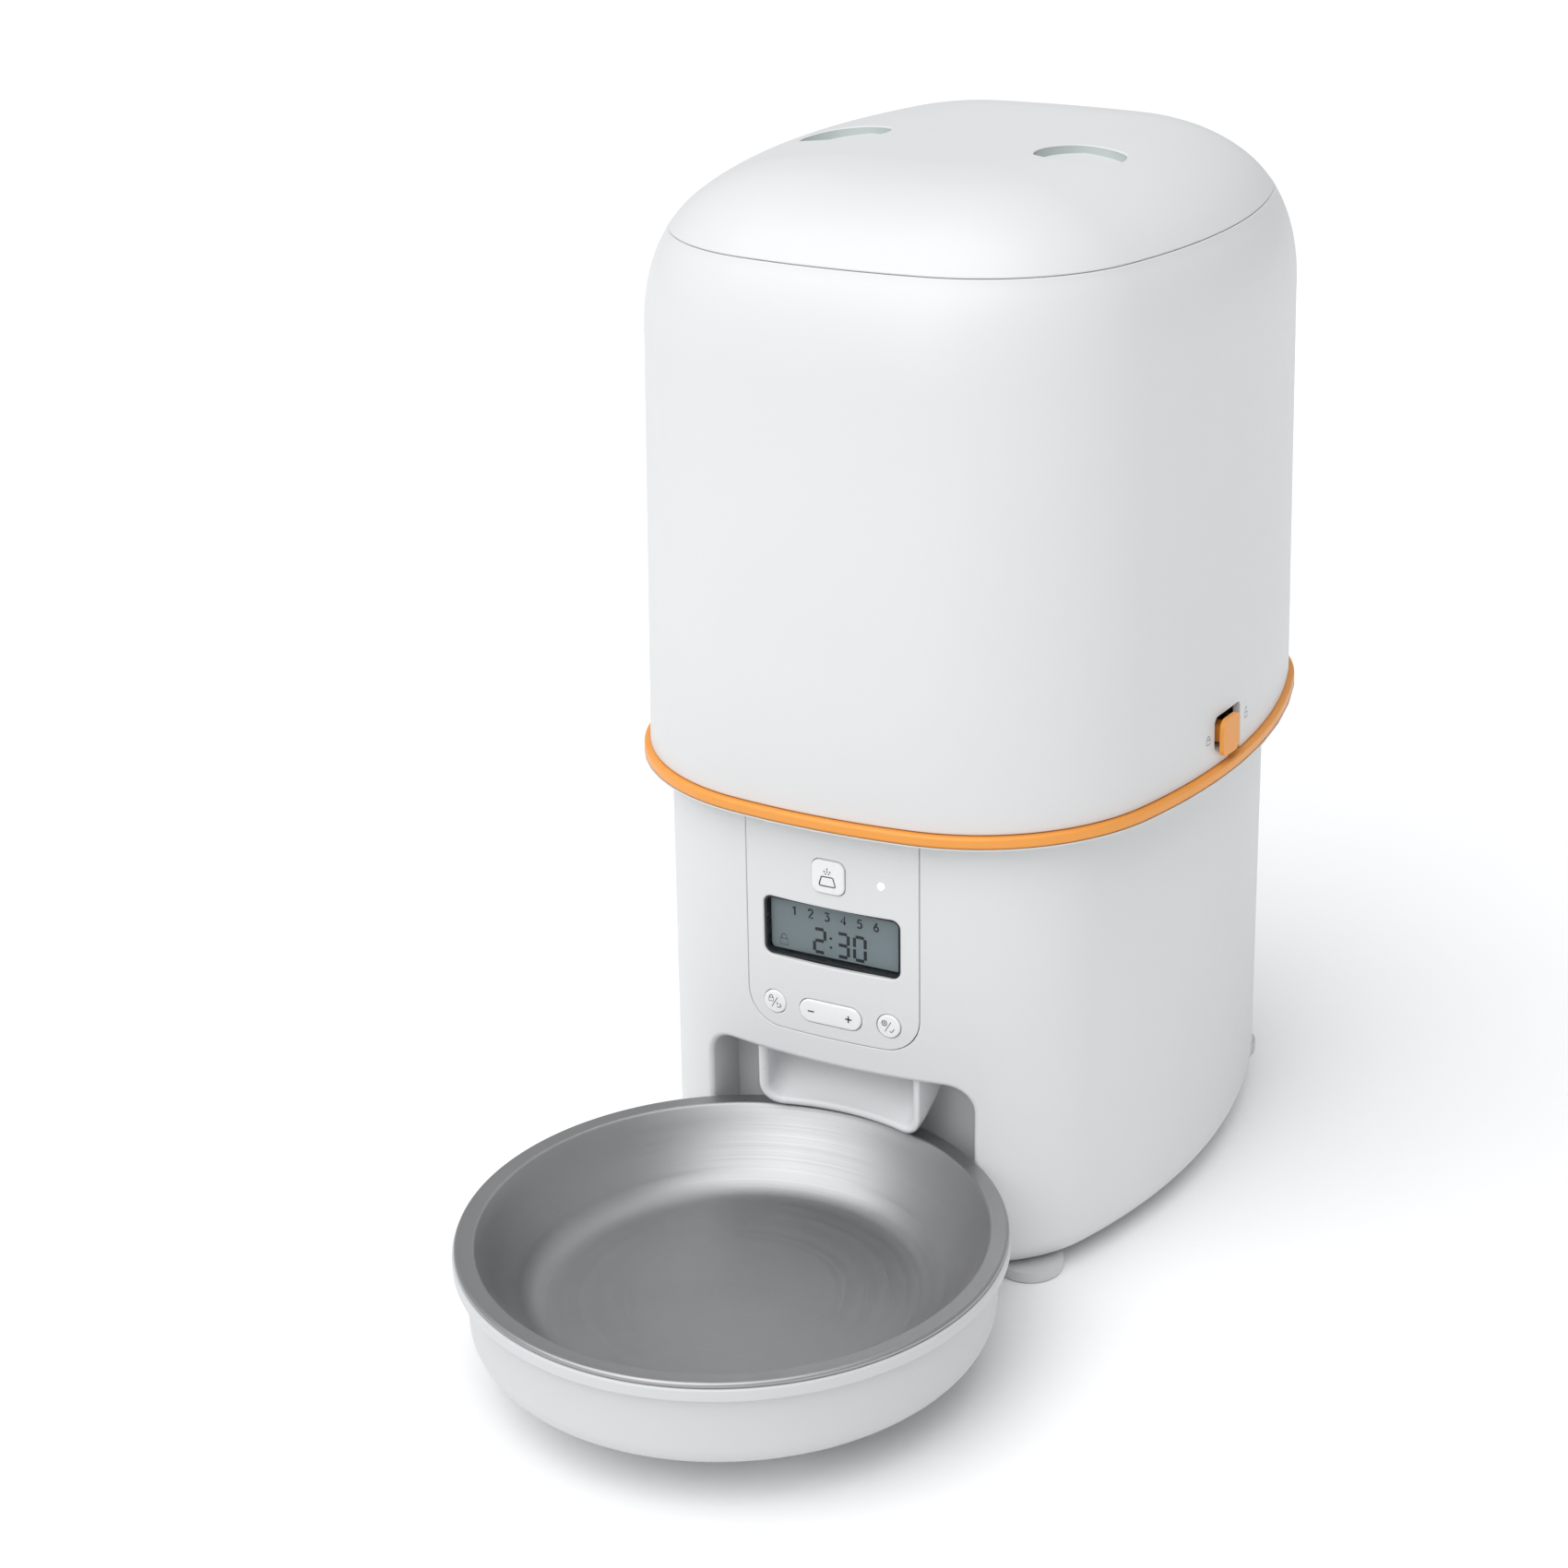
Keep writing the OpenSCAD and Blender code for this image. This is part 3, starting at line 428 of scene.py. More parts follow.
def tint(nodes, links, factor, dark, light):
    m = nodes.new("ShaderNodeMix")
    m.data_type = "RGBA"
    m.inputs[6].default_value = (*dark, 1)
    m.inputs[7].default_value = (*light, 1)
    links.new(factor, m.inputs[0])
    return m.outputs[2]


def surface(name):
    """Material with its object coordinates at hand."""
    material, nodes, links, shader = graph(name)
    return material, nodes, links, shader, nodes.new("ShaderNodeTexCoord").outputs["Object"]


def shade(nodes, links, shader, color, cloud, low, high):
    """Colour that drifts between low and high times itself."""
    dark, light = [c * low for c in color], [min(1, c * high) for c in color]
    links.new(tint(nodes, links, remap(nodes, links, cloud, 0, 1), dark, light), shader.inputs["Base Color"])


def relief(nodes, links, shader, height, strength, distance):
    bumped = nodes.new("ShaderNodeBump")
    bumped.inputs["Strength"].default_value = strength
    bumped.inputs["Distance"].default_value = distance * MM
    links.new(height, bumped.inputs["Height"])
    links.new(bumped.outputs["Normal"], shader.inputs["Normal"])


def plastic(name, color, rough=0.4, grain=2600, bump=0.015, spread=0.015, flow=9, sheen=0.0):
    """Moulded plastic: spark-eroded grain, faint flow variation in colour and gloss."""
    material, nodes, links, shader, place = surface(name)
    broad = noise(nodes, links, place, flow, 2)
    fine = noise(nodes, links, place, grain, 2, 0.6)
    middle = noise(nodes, links, place, 220, 4)
    shade(nodes, links, shader, color, broad, 1 - spread, 1 + spread)
    links.new(remap(nodes, links, middle, rough - 0.035, rough + 0.035), shader.inputs["Roughness"])
    relief(nodes, links, shader, fine, 0.35, bump)
    if sheen:
        shader.inputs["Sheen Weight"].default_value = sheen
    return material


def metal(name, color, rough=0.3, along=(1, 1, 1), scale=900, bump=0.006):
    """Metal with fine marks: along stretches them."""
    material, nodes, links, shader, place = surface(name)
    mapped = nodes.new("ShaderNodeMapping")
    mapped.inputs["Scale"].default_value = along
    links.new(place, mapped.inputs["Vector"])
    marks = noise(nodes, links, mapped.outputs["Vector"], scale, 4, 0.6)
    broad = noise(nodes, links, place, 40, 3)
    shade(nodes, links, shader, color, broad, 0.94, 1.04)
    links.new(remap(nodes, links, marks, rough - 0.08, rough + 0.08), shader.inputs["Roughness"])
    relief(nodes, links, shader, marks, 0.3, bump)
    shader.inputs["Metallic"].default_value = 1
    return material


def spun_steel(name, color, rough, x, y):
    """Steel turned about a vertical axis at (x, y): fine rings that vary in gloss."""
    material, nodes, links, shader, place = surface(name)
    shifted = nodes.new("ShaderNodeVectorMath")
    shifted.operation = "SUBTRACT"
    shifted.inputs[1].default_value = (x * MM, y * MM, 0)
    links.new(place, shifted.inputs[0])
    parts = nodes.new("ShaderNodeSeparateXYZ")
    links.new(shifted.outputs[0], parts.inputs[0])
    radius = nodes.new("ShaderNodeVectorMath")
    radius.operation = "LENGTH"
    flat = nodes.new("ShaderNodeCombineXYZ")
    links.new(parts.outputs["X"], flat.inputs["X"])
    links.new(parts.outputs["Y"], flat.inputs["Y"])
    links.new(flat.outputs[0], radius.inputs[0])
    rings = nodes.new("ShaderNodeCombineXYZ")
    links.new(radius.outputs["Value"], rings.inputs["X"])
    links.new(parts.outputs["Z"], rings.inputs["Y"])
    lines = noise(nodes, links, rings.outputs[0], 2600, 5, 0.65)
    cloud = noise(nodes, links, place, 26, 4)
    shade(nodes, links, shader, color, cloud, 0.95, 1.03)
    links.new(remap(nodes, links, lines, rough - 0.07, rough + 0.09), shader.inputs["Roughness"])
    relief(nodes, links, shader, lines, 0.25, 0.008)
    shader.inputs["Metallic"].default_value = 1
    return material


def lit(name, color, glow):
    material = plastic(name, color, 0.35, spread=0.01)
    shader = material.node_tree.nodes["Principled BSDF"]
    shader.inputs["Emission Color"].default_value = (*color, 1)
    shader.inputs["Emission Strength"].default_value = glow
    return material


def window_glass(name):
    material, nodes, links, shader, place = surface(name)
    smear = noise(nodes, links, place, 60, 4)
    links.new(remap(nodes, links, smear, 0.04, 0.12), shader.inputs["Roughness"])
    links.new(tint(nodes, links, smear, (0.03, 0.04, 0.045), (0.05, 0.06, 0.065)), shader.inputs["Base Color"])
    shader.inputs["Alpha"].default_value = 0.12
    shader.inputs["IOR"].default_value = 1.49
    return material


MATERIALS = {
    "white_shell": plastic("white_shell", (0.70, 0.71, 0.715), 0.4, bump=0.02),
    "white_gloss": plastic("white_gloss", (0.84, 0.85, 0.855), 0.3, grain=1600, bump=0.008),
    "tray_white": plastic("tray_white", (0.58, 0.59, 0.597), 0.4, bump=0.015),
    "chute_white": plastic("chute_white", (0.77, 0.78, 0.79), 0.3, grain=1800, bump=0.01),
    "orange_accent": plastic("orange_accent", (0.83, 0.33, 0.055), 0.4, bump=0.015, spread=0.03),
    "bowl_steel": spun_steel("bowl_steel", (0.40, 0.40, 0.405), 0.42, 0, bowl_y),
    "black_bezel": plastic("black_bezel", (0.008, 0.009, 0.01), 0.25, spread=0.2, bump=0.006),
    "clear_window": window_glass("clear_window"),
    "lcd_glass": plastic("lcd_glass", (0.27, 0.335, 0.36), 0.45, grain=4200, bump=0.004, spread=0.05, flow=30),
    "led_white": lit("led_white", (0.95, 0.97, 1.0), 0.5),
    "board_green": plastic("board_green", (0.02, 0.13, 0.06), 0.35, grain=900, bump=0.03, spread=0.15, flow=60),
    "switch_black": plastic("switch_black", (0.02, 0.02, 0.022), 0.45, spread=0.1),
    "screw_steel": metal("screw_steel", (0.55, 0.55, 0.56), 0.32, scale=2200),
    "natural_nylon": plastic("natural_nylon", (0.74, 0.71, 0.62), 0.42, bump=0.02, spread=0.03),
    "brass": metal("brass", (0.72, 0.50, 0.20), 0.26, along=(1, 1, 9), scale=1500),
    "motor_can": metal("motor_can", (0.60, 0.60, 0.60), 0.3, along=(1, 1, 12), scale=700),
    "inner_abs": plastic("inner_abs", (0.66, 0.67, 0.66), 0.46, grain=1900, bump=0.025, spread=0.025),
    "rotor_grey": plastic("rotor_grey", (0.25, 0.29, 0.31), 0.42, bump=0.02, spread=0.03),
    "soft_grey": plastic("soft_grey", (0.09, 0.095, 0.10), 0.7, bump=0.03, spread=0.06, sheen=0.2),
    "seal_silicone": plastic("seal_silicone", (0.55, 0.57, 0.58), 0.62, bump=0.02, spread=0.03, sheen=0.2),
    "foot_rubber": plastic("foot_rubber", (0.62, 0.625, 0.63), 0.6, bump=0.03, spread=0.05, sheen=0.2),
    "inlet_black": plastic("inlet_black", (0.015, 0.015, 0.017), 0.4, spread=0.1),
    "spring_steel": metal("spring_steel", (0.66, 0.66, 0.67), 0.2, scale=1800),
    "ink": plastic("ink", (0.016, 0.018, 0.02), 0.6, grain=3000, bump=0.004, spread=0.2, flow=200),
    "key_ink": plastic("key_ink", (0.02, 0.022, 0.024), 0.6, grain=3000, bump=0.004, spread=0.2, flow=200),
    # painted shade: the finger scoops are white lid plastic, drawn darker grey-green to stand in for the shade on
    # the pocket's inner wall
    "scoop_painted_shade": plastic("scoop_painted_shade", (0.40, 0.455, 0.445), 0.4, bump=0.01, spread=0.02),
}


def looks(slot, body, replaced=()):
    return {"material": MATERIALS[slot], "slot": slot, "body": body, "replaced": replaced}


# CAD nodes that stay: their slot's material and smooth curved faces
for part in frame["record"]["subparts"]:
    node = frame["nodes"][part["node"]]
    node.data.materials.clear()
    node.data.materials.append(MATERIALS[part["material_slot"]])
    node.data.shade_smooth()
    node.data.set_sharp_from_angle(angle=math.radians(28))

# ---- base
RING = Outline(half_w, half_d, 226, 66.5)
BASE = Outline(half_w - 9.7, half_d - 8, 207, 46)
flare = 0.009 * (base_z1 - base_z0)   # the base is this much wider at its foot
foot_r = 9
FOOT_POINT = 8                       # point of the base's profile from which heights are looked for
base_profile = Profile(
    [(flare - 12, base_z0), (flare - foot_r - 1, base_z0)]
    + arc(flare - foot_r, base_z0 + foot_r, foot_r, -90, 0, 12)
    + [(flare * 0.5, (base_z0 + base_z1) / 2)]
    + arc(-0.6, base_z1 - 0.6, 0.6, 0, 90, 3) + [(-9, base_z1)])
panel_w, panel_r, panel_z0 = 28.9, 11, span("front_panel")[0][2]


def front_xy(points):
    """Front-view points (x, z) as flat coordinates on the base's wall."""
    top = base_z1 - 0.61                 # just under the rounded top edge
    return [(BASE.front_s(x), base_profile.height(min(z, top), FOOT_POINT)) for x, z in points]


def alcove_rim(g):
    corners = [(-alcove_w, base_z0 + 12, 0), (-alcove_w, alcove_z, alcove_r),
               (alcove_w, alcove_z, alcove_r), (alcove_w, base_z0 + 12, 0)]
    # clockwise, so that growth goes up and out
    points = front_xy(track(corners, -g, closed=False))
    return [(points[0][0], 0)] + points + [(points[-1][0], 0)]


top_v = base_profile.v[-1]


def panel_rim(g):
    corners = [(-panel_w - 0.2, base_z1 - 10, 0), (-panel_w - 0.2, panel_z0 - 0.2, panel_r),
               (panel_w + 0.2, panel_z0 - 0.2, panel_r), (panel_w + 0.2, base_z1 - 10, 0)]
    points = front_xy(track(corners, g, closed=False))
    return [(points[0][0], top_v)] + points + [(points[-1][0], top_v)]


inlet_v = base_profile.height(centre("dc_inlet")[2], FOOT_POINT)
seam_s = -0.3 * BASE.length


def base_loops(first):
    alcove, panel, inlet = first
    return [[(seam_s, 0)] + alcove + [(seam_s + BASE.length, 0), (seam_s + BASE.length, top_v)]
            + panel[::-1] + [(seam_s, top_v)], inlet]


def columns_from(outline, start):
    """The outline's stops, counted from start once round."""
    found = []
    for s in outline.stops():
        s = (s - start) % outline.length + start
        if s > start + 0.2 and s < start + outline.length - 0.2:
            found.append(s)
    return sorted(found)


sheet("base_shell_skin", base_loops,
      [(alcove_rim, 1.7, [TAIL], False), (panel_rim, 0.3, [2.2], False),
       (circle(BASE.length / 2, inlet_v, 5), 0.6, [2.4], True)],
      (columns_from(BASE, seam_s), base_profile.v[1:-1]),
      wall_place(BASE, base_profile, tail=lambda x, y, z: (x, alcove_y, z)),
      **looks("white_shell", "base", ["base_shell"]))

# back of the alcove, with the slot for the tray's tongue
back = track([(-alcove_w, base_z0, 0), (alcove_w, base_z0, 0),
              (alcove_w, alcove_z, alcove_r), (-alcove_w, alcove_z, alcove_r)], 0.4)
sheet("alcove_back", lambda first: [back, first[0]],
      [(rounded(0, tray_z + 5, 32, 6.8, 0.8), 0.4, [3], True)], ([], []),
      lambda x, z, d: ((x, alcove_y + d, z), (0, -1, 0)), **looks("white_shell", "base"))

# ---- control panel
window, feed = centre("display_window"), centre("feed_button")
led, rocker = centre("led_lens"), centre("minus_plus_rocker")
key_x, key_z = centre("settings_button")[0], centre("settings_button")[2]


def hole(shape):
    return lambda g: front_xy(shape(g))


panel_outline = [(-panel_w, panel_z0, panel_r), (panel_w, panel_z0, panel_r),
                 (panel_w, base_z1 - 0.7, 0.4), (-panel_w, base_z1 - 0.7, 0.4)]
panel_columns = [BASE.front_s(x) for x in range(-28, 29, 2)]
sheet("front_panel_skin", lambda first: first,
      [(hole(lambda g: track(panel_outline, -g)), 0.3, [2.0], True),
       (hole(rounded(0, window[2], 46.0, 19.4, 2.9)), 0.55, [1.6], True),
       (hole(rounded(0, feed[2], 11.3, 11.1, 2.8)), 0.25, [2.0], True),
       (hole(rounded(0, rocker[2], 21.5, 8.0, 4.0)), 0.25, [2.0], True),
       (hole(circle(-key_x, key_z, 4.0)), 0.25, [2.0], True),
       (hole(circle(key_x, key_z, 4.0)), 0.25, [2.0], True),
       (hole(circle(led[0], led[2], 1.3, 24)), 0.2, [2.0], True)],
      (panel_columns, []), wall_place(BASE, base_profile), **looks("white_shell", "base", ["front_panel"]))


def key_cap(name, shape, y_front, y_back, fillet, dome, body):
    """Button cap facing -Y: straight skirt, rounded rim and a slightly domed face."""
    rows = [[(x, y_back, z) for x, z in shape(0)]]
    for k in range(FILLET_STEPS + 1):
        a = QUARTER * k / FILLET_STEPS
        y = y_front + fillet * (1 - math.sin(a))
        rows.append([(x, y, z) for x, z in shape(-fillet * (1 - math.cos(a)))])
    rim = rows[-1]
    cx = sum(p[0] for p in rim) / len(rim)
    cz = sum(p[2] for p in rim) / len(rim)
    for share in (0.85, 0.6, 0.3):
        y = y_front - dome * (1 - share ** 2)
        rows.append([(cx + (x - cx) * share, y, cz + (z - cz) * share) for x, _, z in rim])
    verts = [p for row in rows for p in row] + [(cx, y_front - dome, cz)]
    n = len(rim)
    faces = grid_faces(len(rows), n)
    last = (len(rows) - 1) * n
    faces += [(last + i, last + (i + 1) % n, len(verts) - 1) for i in range(n)]
    return new_piece(name, verts, faces, **looks("white_gloss", body, [body]))


def ribbon(points, width, closed=False):
    """Flat strip along points (x, z): two rows of points."""
    n = len(points)
    left, right = [], []
    for i in range(n):
        a = points[i - 1] if i or closed else points[0]
        b = points[(i + 1) % n] if i < n - 1 or closed else points[-1]
        size = math.hypot(b[0] - a[0], b[1] - a[1]) or 1
        nx, nz = -(b[1] - a[1]) / size * width / 2, (b[0] - a[0]) / size * width / 2
        left.append((points[i][0] + nx, points[i][1] + nz))
        right.append((points[i][0] - nx, points[i][1] - nz))
    return left, right


def print_mark(name, strokes, put, body, material="key_ink"):
    """Printed mark made of flat strips, each (points, width, closed), put on a surface by put(x, z). A strip of no
    width is a filled outline."""
    verts, faces = [], []
    for points, width, closed in strokes:
        if width == 0:
            start = len(verts)
            verts += [put(*p) for p in points]
            faces.append(tuple(range(start, start + len(points))))
            continue
        left, right = ribbon(points, width, closed)
        start, n = len(verts), len(points)
        verts += [put(*p) for p in left + right]
        for i in range(n if closed else n - 1):
            k = (i + 1) % n
            faces.append((start + i, start + k, start + n + k, start + n + i))
    made = looks("switch_black", body)
    made["material"] = MATERIALS[material]
    return new_piece(name, verts, faces, sharp=None, weighted=False, **made)


def moved(strokes, x, z, scale=1.0):
    return [([(x + px * scale, z + pz * scale) for px, pz in points], width, closed)
            for points, width, closed in strokes]


def padlock(is_open=False):
    lift = 0.35 if is_open else 0
    shackle = [(-0.5, 0.35)] + arc(0, 0.75 + lift, 0.5, 180, 0, 6)
    if not is_open:
        shackle.append((0.5, 0.35))
    return [([(-0.8, -0.8), (0.8, -0.8), (0.8, 0.35), (-0.8, 0.35)], 0.2, True), (shackle, 0.2, False)]


dots = [circle(x, z, 0.24, 12)(0)
        for x, z in ((-0.95, 2.0), (0, 2.1), (0.95, 2.0), (-0.5, 1.3), (0.5, 1.3), (0, 2.9))]
feed_mark = [(track([(x, z, 0.45) for x, z in ((-2.8, -2.7), (2.8, -2.7), (1.9, 0.3), (-1.9, 0.3))], 0), 0.34, True)]
feed_mark += [(dot, 0, True) for dot in dots]
slash = [([(-1.0, -1.7), (1.0, 1.7)], 0.2, False)]
hook = [(0.75 * math.cos(math.radians(a)) + 0.1, 0.6 * math.sin(math.radians(a))) for a in range(-140, 100, 20)]
back_arrow = [(hook, 0.22, False), ([(-0.15, 1.0), (-0.65, 0.62), (-0.1, 0.25)], 0.22, False)]
tick = [([(-0.75, -0.4), (-0.15, -0.8), (0.8, 0.5)], 0.24, False)]
cog_radii = [0.95 if k % 4 < 2 else 0.72 for k in range(32)]
cog = [(r * math.cos(math.pi * k / 16), r * math.sin(math.pi * k / 16)) for k, r in enumerate(cog_radii)]
gear = [(cog, 0.2, True), (circle(0, 0, 0.28, 16)(0), 0.18, True)]

feed_front, key_front, lcd_front = (span(n)[0][1] for n in ("feed_button", "settings_button", "lcd_module"))
for name, shape, front, skirt, fillet, dome, body in (
        ("feed_key", rounded(0, feed[2], 10.9, 10.7, 2.6), feed_front, 3.8, 0.55, 0.12, "feed_button"),
        ("lock_key", circle(-key_x, key_z, 3.8), key_front, 3.6, 0.5, 0.1, "lock_button"),
        ("settings_key", circle(key_x, key_z, 3.8), key_front, 3.6, 0.5, 0.1, "settings_button"),
        ("minus_plus_key", rounded(0, rocker[2], 21, 7.5, 3.74), feed_front, 4.3, 0.55, 0.12, "minus_plus_rocker")):
    key_cap(name, shape, front, front + skirt, fillet, dome, body)


def on_feed(x, z):
    return x, feed_front - 0.15, z


def on_key(x, z):
    return x, key_front - 0.13, z


def on_display(x, z):
    return x, lcd_front - 0.05, z


print_mark("feed_mark", moved(feed_mark, 0, feed[2]), on_feed, "feed_button")
print_mark("lock_mark",
           moved(padlock(), -key_x - 1.2, key_z + 0.9) + moved(slash, -key_x, key_z)
           + moved(back_arrow, -key_x + 1.25, key_z - 1.0), on_key, "lock_button")
print_mark("settings_mark",
           moved(gear, key_x - 1.2, key_z + 1.0) + moved(slash, key_x, key_z)
           + moved(tick, key_x + 1.3, key_z - 0.9), on_key, "settings_button")
signs = [([(-7.4, 0), (-5.3, 0)], 0.42, False), ([(5.3, 0), (7.5, 0)], 0.42, False),
         ([(6.4, -1.1), (6.4, 1.1)], 0.42, False)]
print_mark("minus_plus_mark", moved(signs, 0, rocker[2]), on_feed, "minus_plus_rocker")

# display: six meal numbers, a time and a padlock, on the LCD behind the window
SEGMENTS = {"0": "abcdef", "2": "abged", "3": "abgcd"}


def seven_segment(digit, x, z, w, h, thick):
    gap = thick * 0.35
    lines = {
        "a": ((gap, h), (w - gap, h)), "g": ((gap, h / 2), (w - gap, h / 2)), "d": ((gap, 0), (w - gap, 0)),
        "f": ((0, h / 2 + gap), (0, h - gap)), "b": ((w, h / 2 + gap), (w, h - gap)),
        "e": ((0, gap), (0, h / 2 - gap)), "c": ((w, gap), (w, h / 2 - gap))}
    return moved([(lines[k], thick, False) for k in SEGMENTS[digit]], x, z)


NUMERALS = [
    [(0.2, 2.2), (0.9, 2.8), (0.9, 0)],
    [(0, 2.2), (0.25, 2.65), (0.8, 2.85), (1.35, 2.65), (1.5, 2.1), (1.2, 1.5), (0.1, 0.1), (1.6, 0.1)],
    [(0.1, 2.7), (1.4, 2.7), (0.8, 1.7), (1.35, 1.5), (1.55, 0.9), (1.25, 0.25), (0.7, 0.05), (0.05, 0.35)],
    [(1.2, 0), (1.2, 2.8), (0, 0.8), (1.7, 0.8)],
    [(1.45, 2.7), (0.35, 2.7), (0.2, 1.6), (0.9, 1.75), (1.45, 1.4), (1.5, 0.6), (1.1, 0.1), (0.5, 0.05),
     (0.05, 0.35)],
    [(1.2, 2.8), (0.4, 1.6), (0.15, 0.9), (0.4, 0.25), (0.85, 0.05), (1.35, 0.3), (1.55, 0.85), (1.3, 1.45),
     (0.8, 1.65), (0.35, 1.35)]]
display = []
for i, line in enumerate(NUMERALS):
    display += moved([(line, 0.6, False)], -14.6 + i * 5.5, window[2] + 3.4)
for digit, x in (("2", -7.2), ("3", 0.7), ("0", 6.4)):
    display += seven_segment(digit, x, window[2] - 7.3, 3.6, 7.6, 1.05)
display += [(circle(-1.6, window[2] + dz, 0.45, 12)(0), 0, True) for dz in (-5.0, -2.0)]
display += moved(padlock(), -17.6, window[2] - 5.8, 1.7)
print_mark("display_digits", display, on_display, "base", "ink")

# ---- accent ring
z0, z1 = ring_lo[2], ring_hi[2]
ring_shell("accent_ring_skin", RING,
           [(-5.4, z0), (-0.9, z0)] + arc(-0.9, z0 + 0.9, 0.9, -75, 0, 4)
           + arc(-0.9, z1 - 0.9, 0.9, 0, 90, 5) + [(-5.4, z1)],
           **looks("orange_accent", "base", ["accent_ring"]))

# ---- hopper and lid
shoulder_w, shoulder_h, power = 46, 50, 2.4
crown, crown_edge, crown_w = 4, -20, 46.5   # gentle dome: height, offset where it starts and width
shoulder_z = body_top - shoulder_h - crown
draft = 0.024
hopper_u = -2
shoulder_u = hopper_u - draft * (shoulder_z - hopper_z0)


def top_height(u, inside=0.0):
    """Height of the shoulder and the lid at offset u; inside thins it."""
    k = min(1, max(0, (shoulder_u - inside - u) / (shoulder_w - inside)))
    q = min(1, max(0, (crown_edge - u) / crown_w))
    shoulder = (shoulder_h - inside) * (1 - (1 - k) ** power) ** (1 / power)
    return shoulder_z + shoulder + crown * q * q * (3 - 2 * q)


def top_offset(z, inside=0.0):
    """Offset at which the shoulder reaches height z, below the crown."""
    k = ((z - shoulder_z) / (shoulder_h - inside)) ** power
    return shoulder_u - inside - (shoulder_w - inside) * (1 - (1 - k) ** (1 / power))


edge_r = 0.4                         # rounded edges on both sides of the lid's seam
seam_top = seam_z + 0.1
seam_edge = seam_top - edge_r
rim_u = top_offset(seam_edge)
rise = [shoulder_z + (seam_edge - shoulder_z) * k / 16 for k in range(1, 16)]
foot_edge = hopper_z0 + 0.5
side_wall = [(hopper_u + (shoulder_u - hopper_u) * k / 3, foot_edge + (shoulder_z - foot_edge) * k / 3)
             for k in (1, 2, 3)]
neck_out, neck_in, neck_h = -18.8, -20.6, 9.8   # collar inside the seam, which the lid drops into
hopper_profile = Profile(
    [(hopper_u - wall, hopper_z0), (hopper_u - 0.5, hopper_z0)] + arc(hopper_u - 0.5, foot_edge, 0.5, -75, 0, 4)
    + side_wall + [(top_offset(z), z) for z in rise] + [(rim_u, seam_edge)]
    + arc(rim_u - edge_r, seam_edge, edge_r, 30, 90, 3)
    + [(neck_in, seam_top), (neck_in, seam_top - neck_h), (neck_out, seam_top - neck_h), (neck_out, seam_top - 2.2)]
    + [(top_offset(z, wall), z) for z in rise[-2::-2]]
    + [(shoulder_u - wall, shoulder_z), (shoulder_u - wall + 1, shoulder_z - 70)])
HOPPER_POINT = 5                     # point of the hopper's profile from which heights are looked for
slot_y0, slot_y1, step_y = slider_lo[1] - 0.3, slider_lo[1] + 18.2, slider_lo[1] + 9.2
slot_z0, slot_z1 = hopper_z0 + 5, hopper_z0 + 15.6


def side_flat(points):
    return [(RING.side_s(y), hopper_profile.height(z, HOPPER_POINT)) for y, z in points]


def slot_rim(g):
    corners = [(step_y, hopper_z0 + 1, 0), (step_y, slot_z0, 0.5), (slot_y0, slot_z0, 1.6),
               (slot_y0, slot_z1, 2.2), (slot_y1, slot_z1, 2.2), (slot_y1, hopper_z0 + 1, 0)]
    points = side_flat(track(corners, -g, closed=False))
    return [(points[0][0], 0)] + points + [(points[-1][0], 0)]


hopper_end = RING.side + 0.45 * RING.length
hopper_start = hopper_end - RING.length
hopper_top = hopper_profile.v[-1]
sheet("hopper_skin",
      lambda first: [[(hopper_start, 0)] + first[0]
                     + [(hopper_end, 0), (hopper_end, hopper_top), (hopper_start, hopper_top)]],
      [(slot_rim, 0.35, [wall], False)],
      (columns_from(RING, hopper_start), hopper_profile.v[1:-1]), wall_place(RING, hopper_profile),
      **looks("white_shell", "base", ["hopper"]))

lid_z = seam_z + 0.2
lid_edge = lid_z + edge_r
lid_u = top_offset(lid_edge)
edge_u = -34                         # where the lid's edge piece meets its top piece
outer_path = [(top_offset(z), z) for z in (lid_edge + k * 1.6 for k in range(1, 9)) if top_offset(z) > -20]
last_u = outer_path[-1][0]
outer_path += [(u, top_height(u)) for u in (last_u - 1.5 * k for k in range(1, 12)) if u > edge_u + 0.7]
outer_path.append((edge_u, top_height(edge_u)))
skirt_in, skirt_out, skirt_z = -24.2, -22, lid_z - 8.4   # skirt that drops inside the hopper's collar
ring_shell("lid_skin_edge", RING,
           [(-58, body_top - wall), (-50, top_height(-50) - wall)]
           + [(u, top_height(u, wall)) for u in (-42, -34, -28)]
           + [(skirt_in, lid_z + 6), (skirt_in, skirt_z), (skirt_in + 0.4, skirt_z - 0.4),
              (skirt_out - 0.4, skirt_z - 0.4), (skirt_out, skirt_z), (skirt_out, lid_z), (lid_u - edge_r, lid_z)]
           + arc(lid_u - edge_r, lid_edge, edge_r, -60, 20, 3) + outer_path,
           closed=False, cap_start=body_top - wall + 0.2, **looks("white_shell", "lid"))

# top of the lid, with two eye-shaped finger pockets
pocket_x, pocket_y, pocket_turn = 38.4, -14, math.radians(45)
pocket_r, pocket_off = 15.06, 4.06   # radius of both arcs, and how far their centres are off the pocket's
pocket_half = math.sqrt(pocket_r ** 2 - pocket_off ** 2)   # middle to tip
pocket_c, pocket_s = math.cos(pocket_turn), math.sin(pocket_turn)


def on_pocket(side, x, y):
    return side * pocket_x + x * pocket_c - y * pocket_s, pocket_y + x * pocket_s + y * pocket_c


def eye(side):
    def shape(g):
        """Two arcs meeting in slightly rounded tips."""
        r = pocket_r + g
        half = math.degrees(math.acos(pocket_off / r)) - 2.5
        flat = arc(0, -pocket_off, r, 90 - half, 90 + half, 26) + arc(0, pocket_off, r, 270 - half, 270 + half, 26)
        return [on_pocket(side, x, y) for x, y in flat]

    return shape


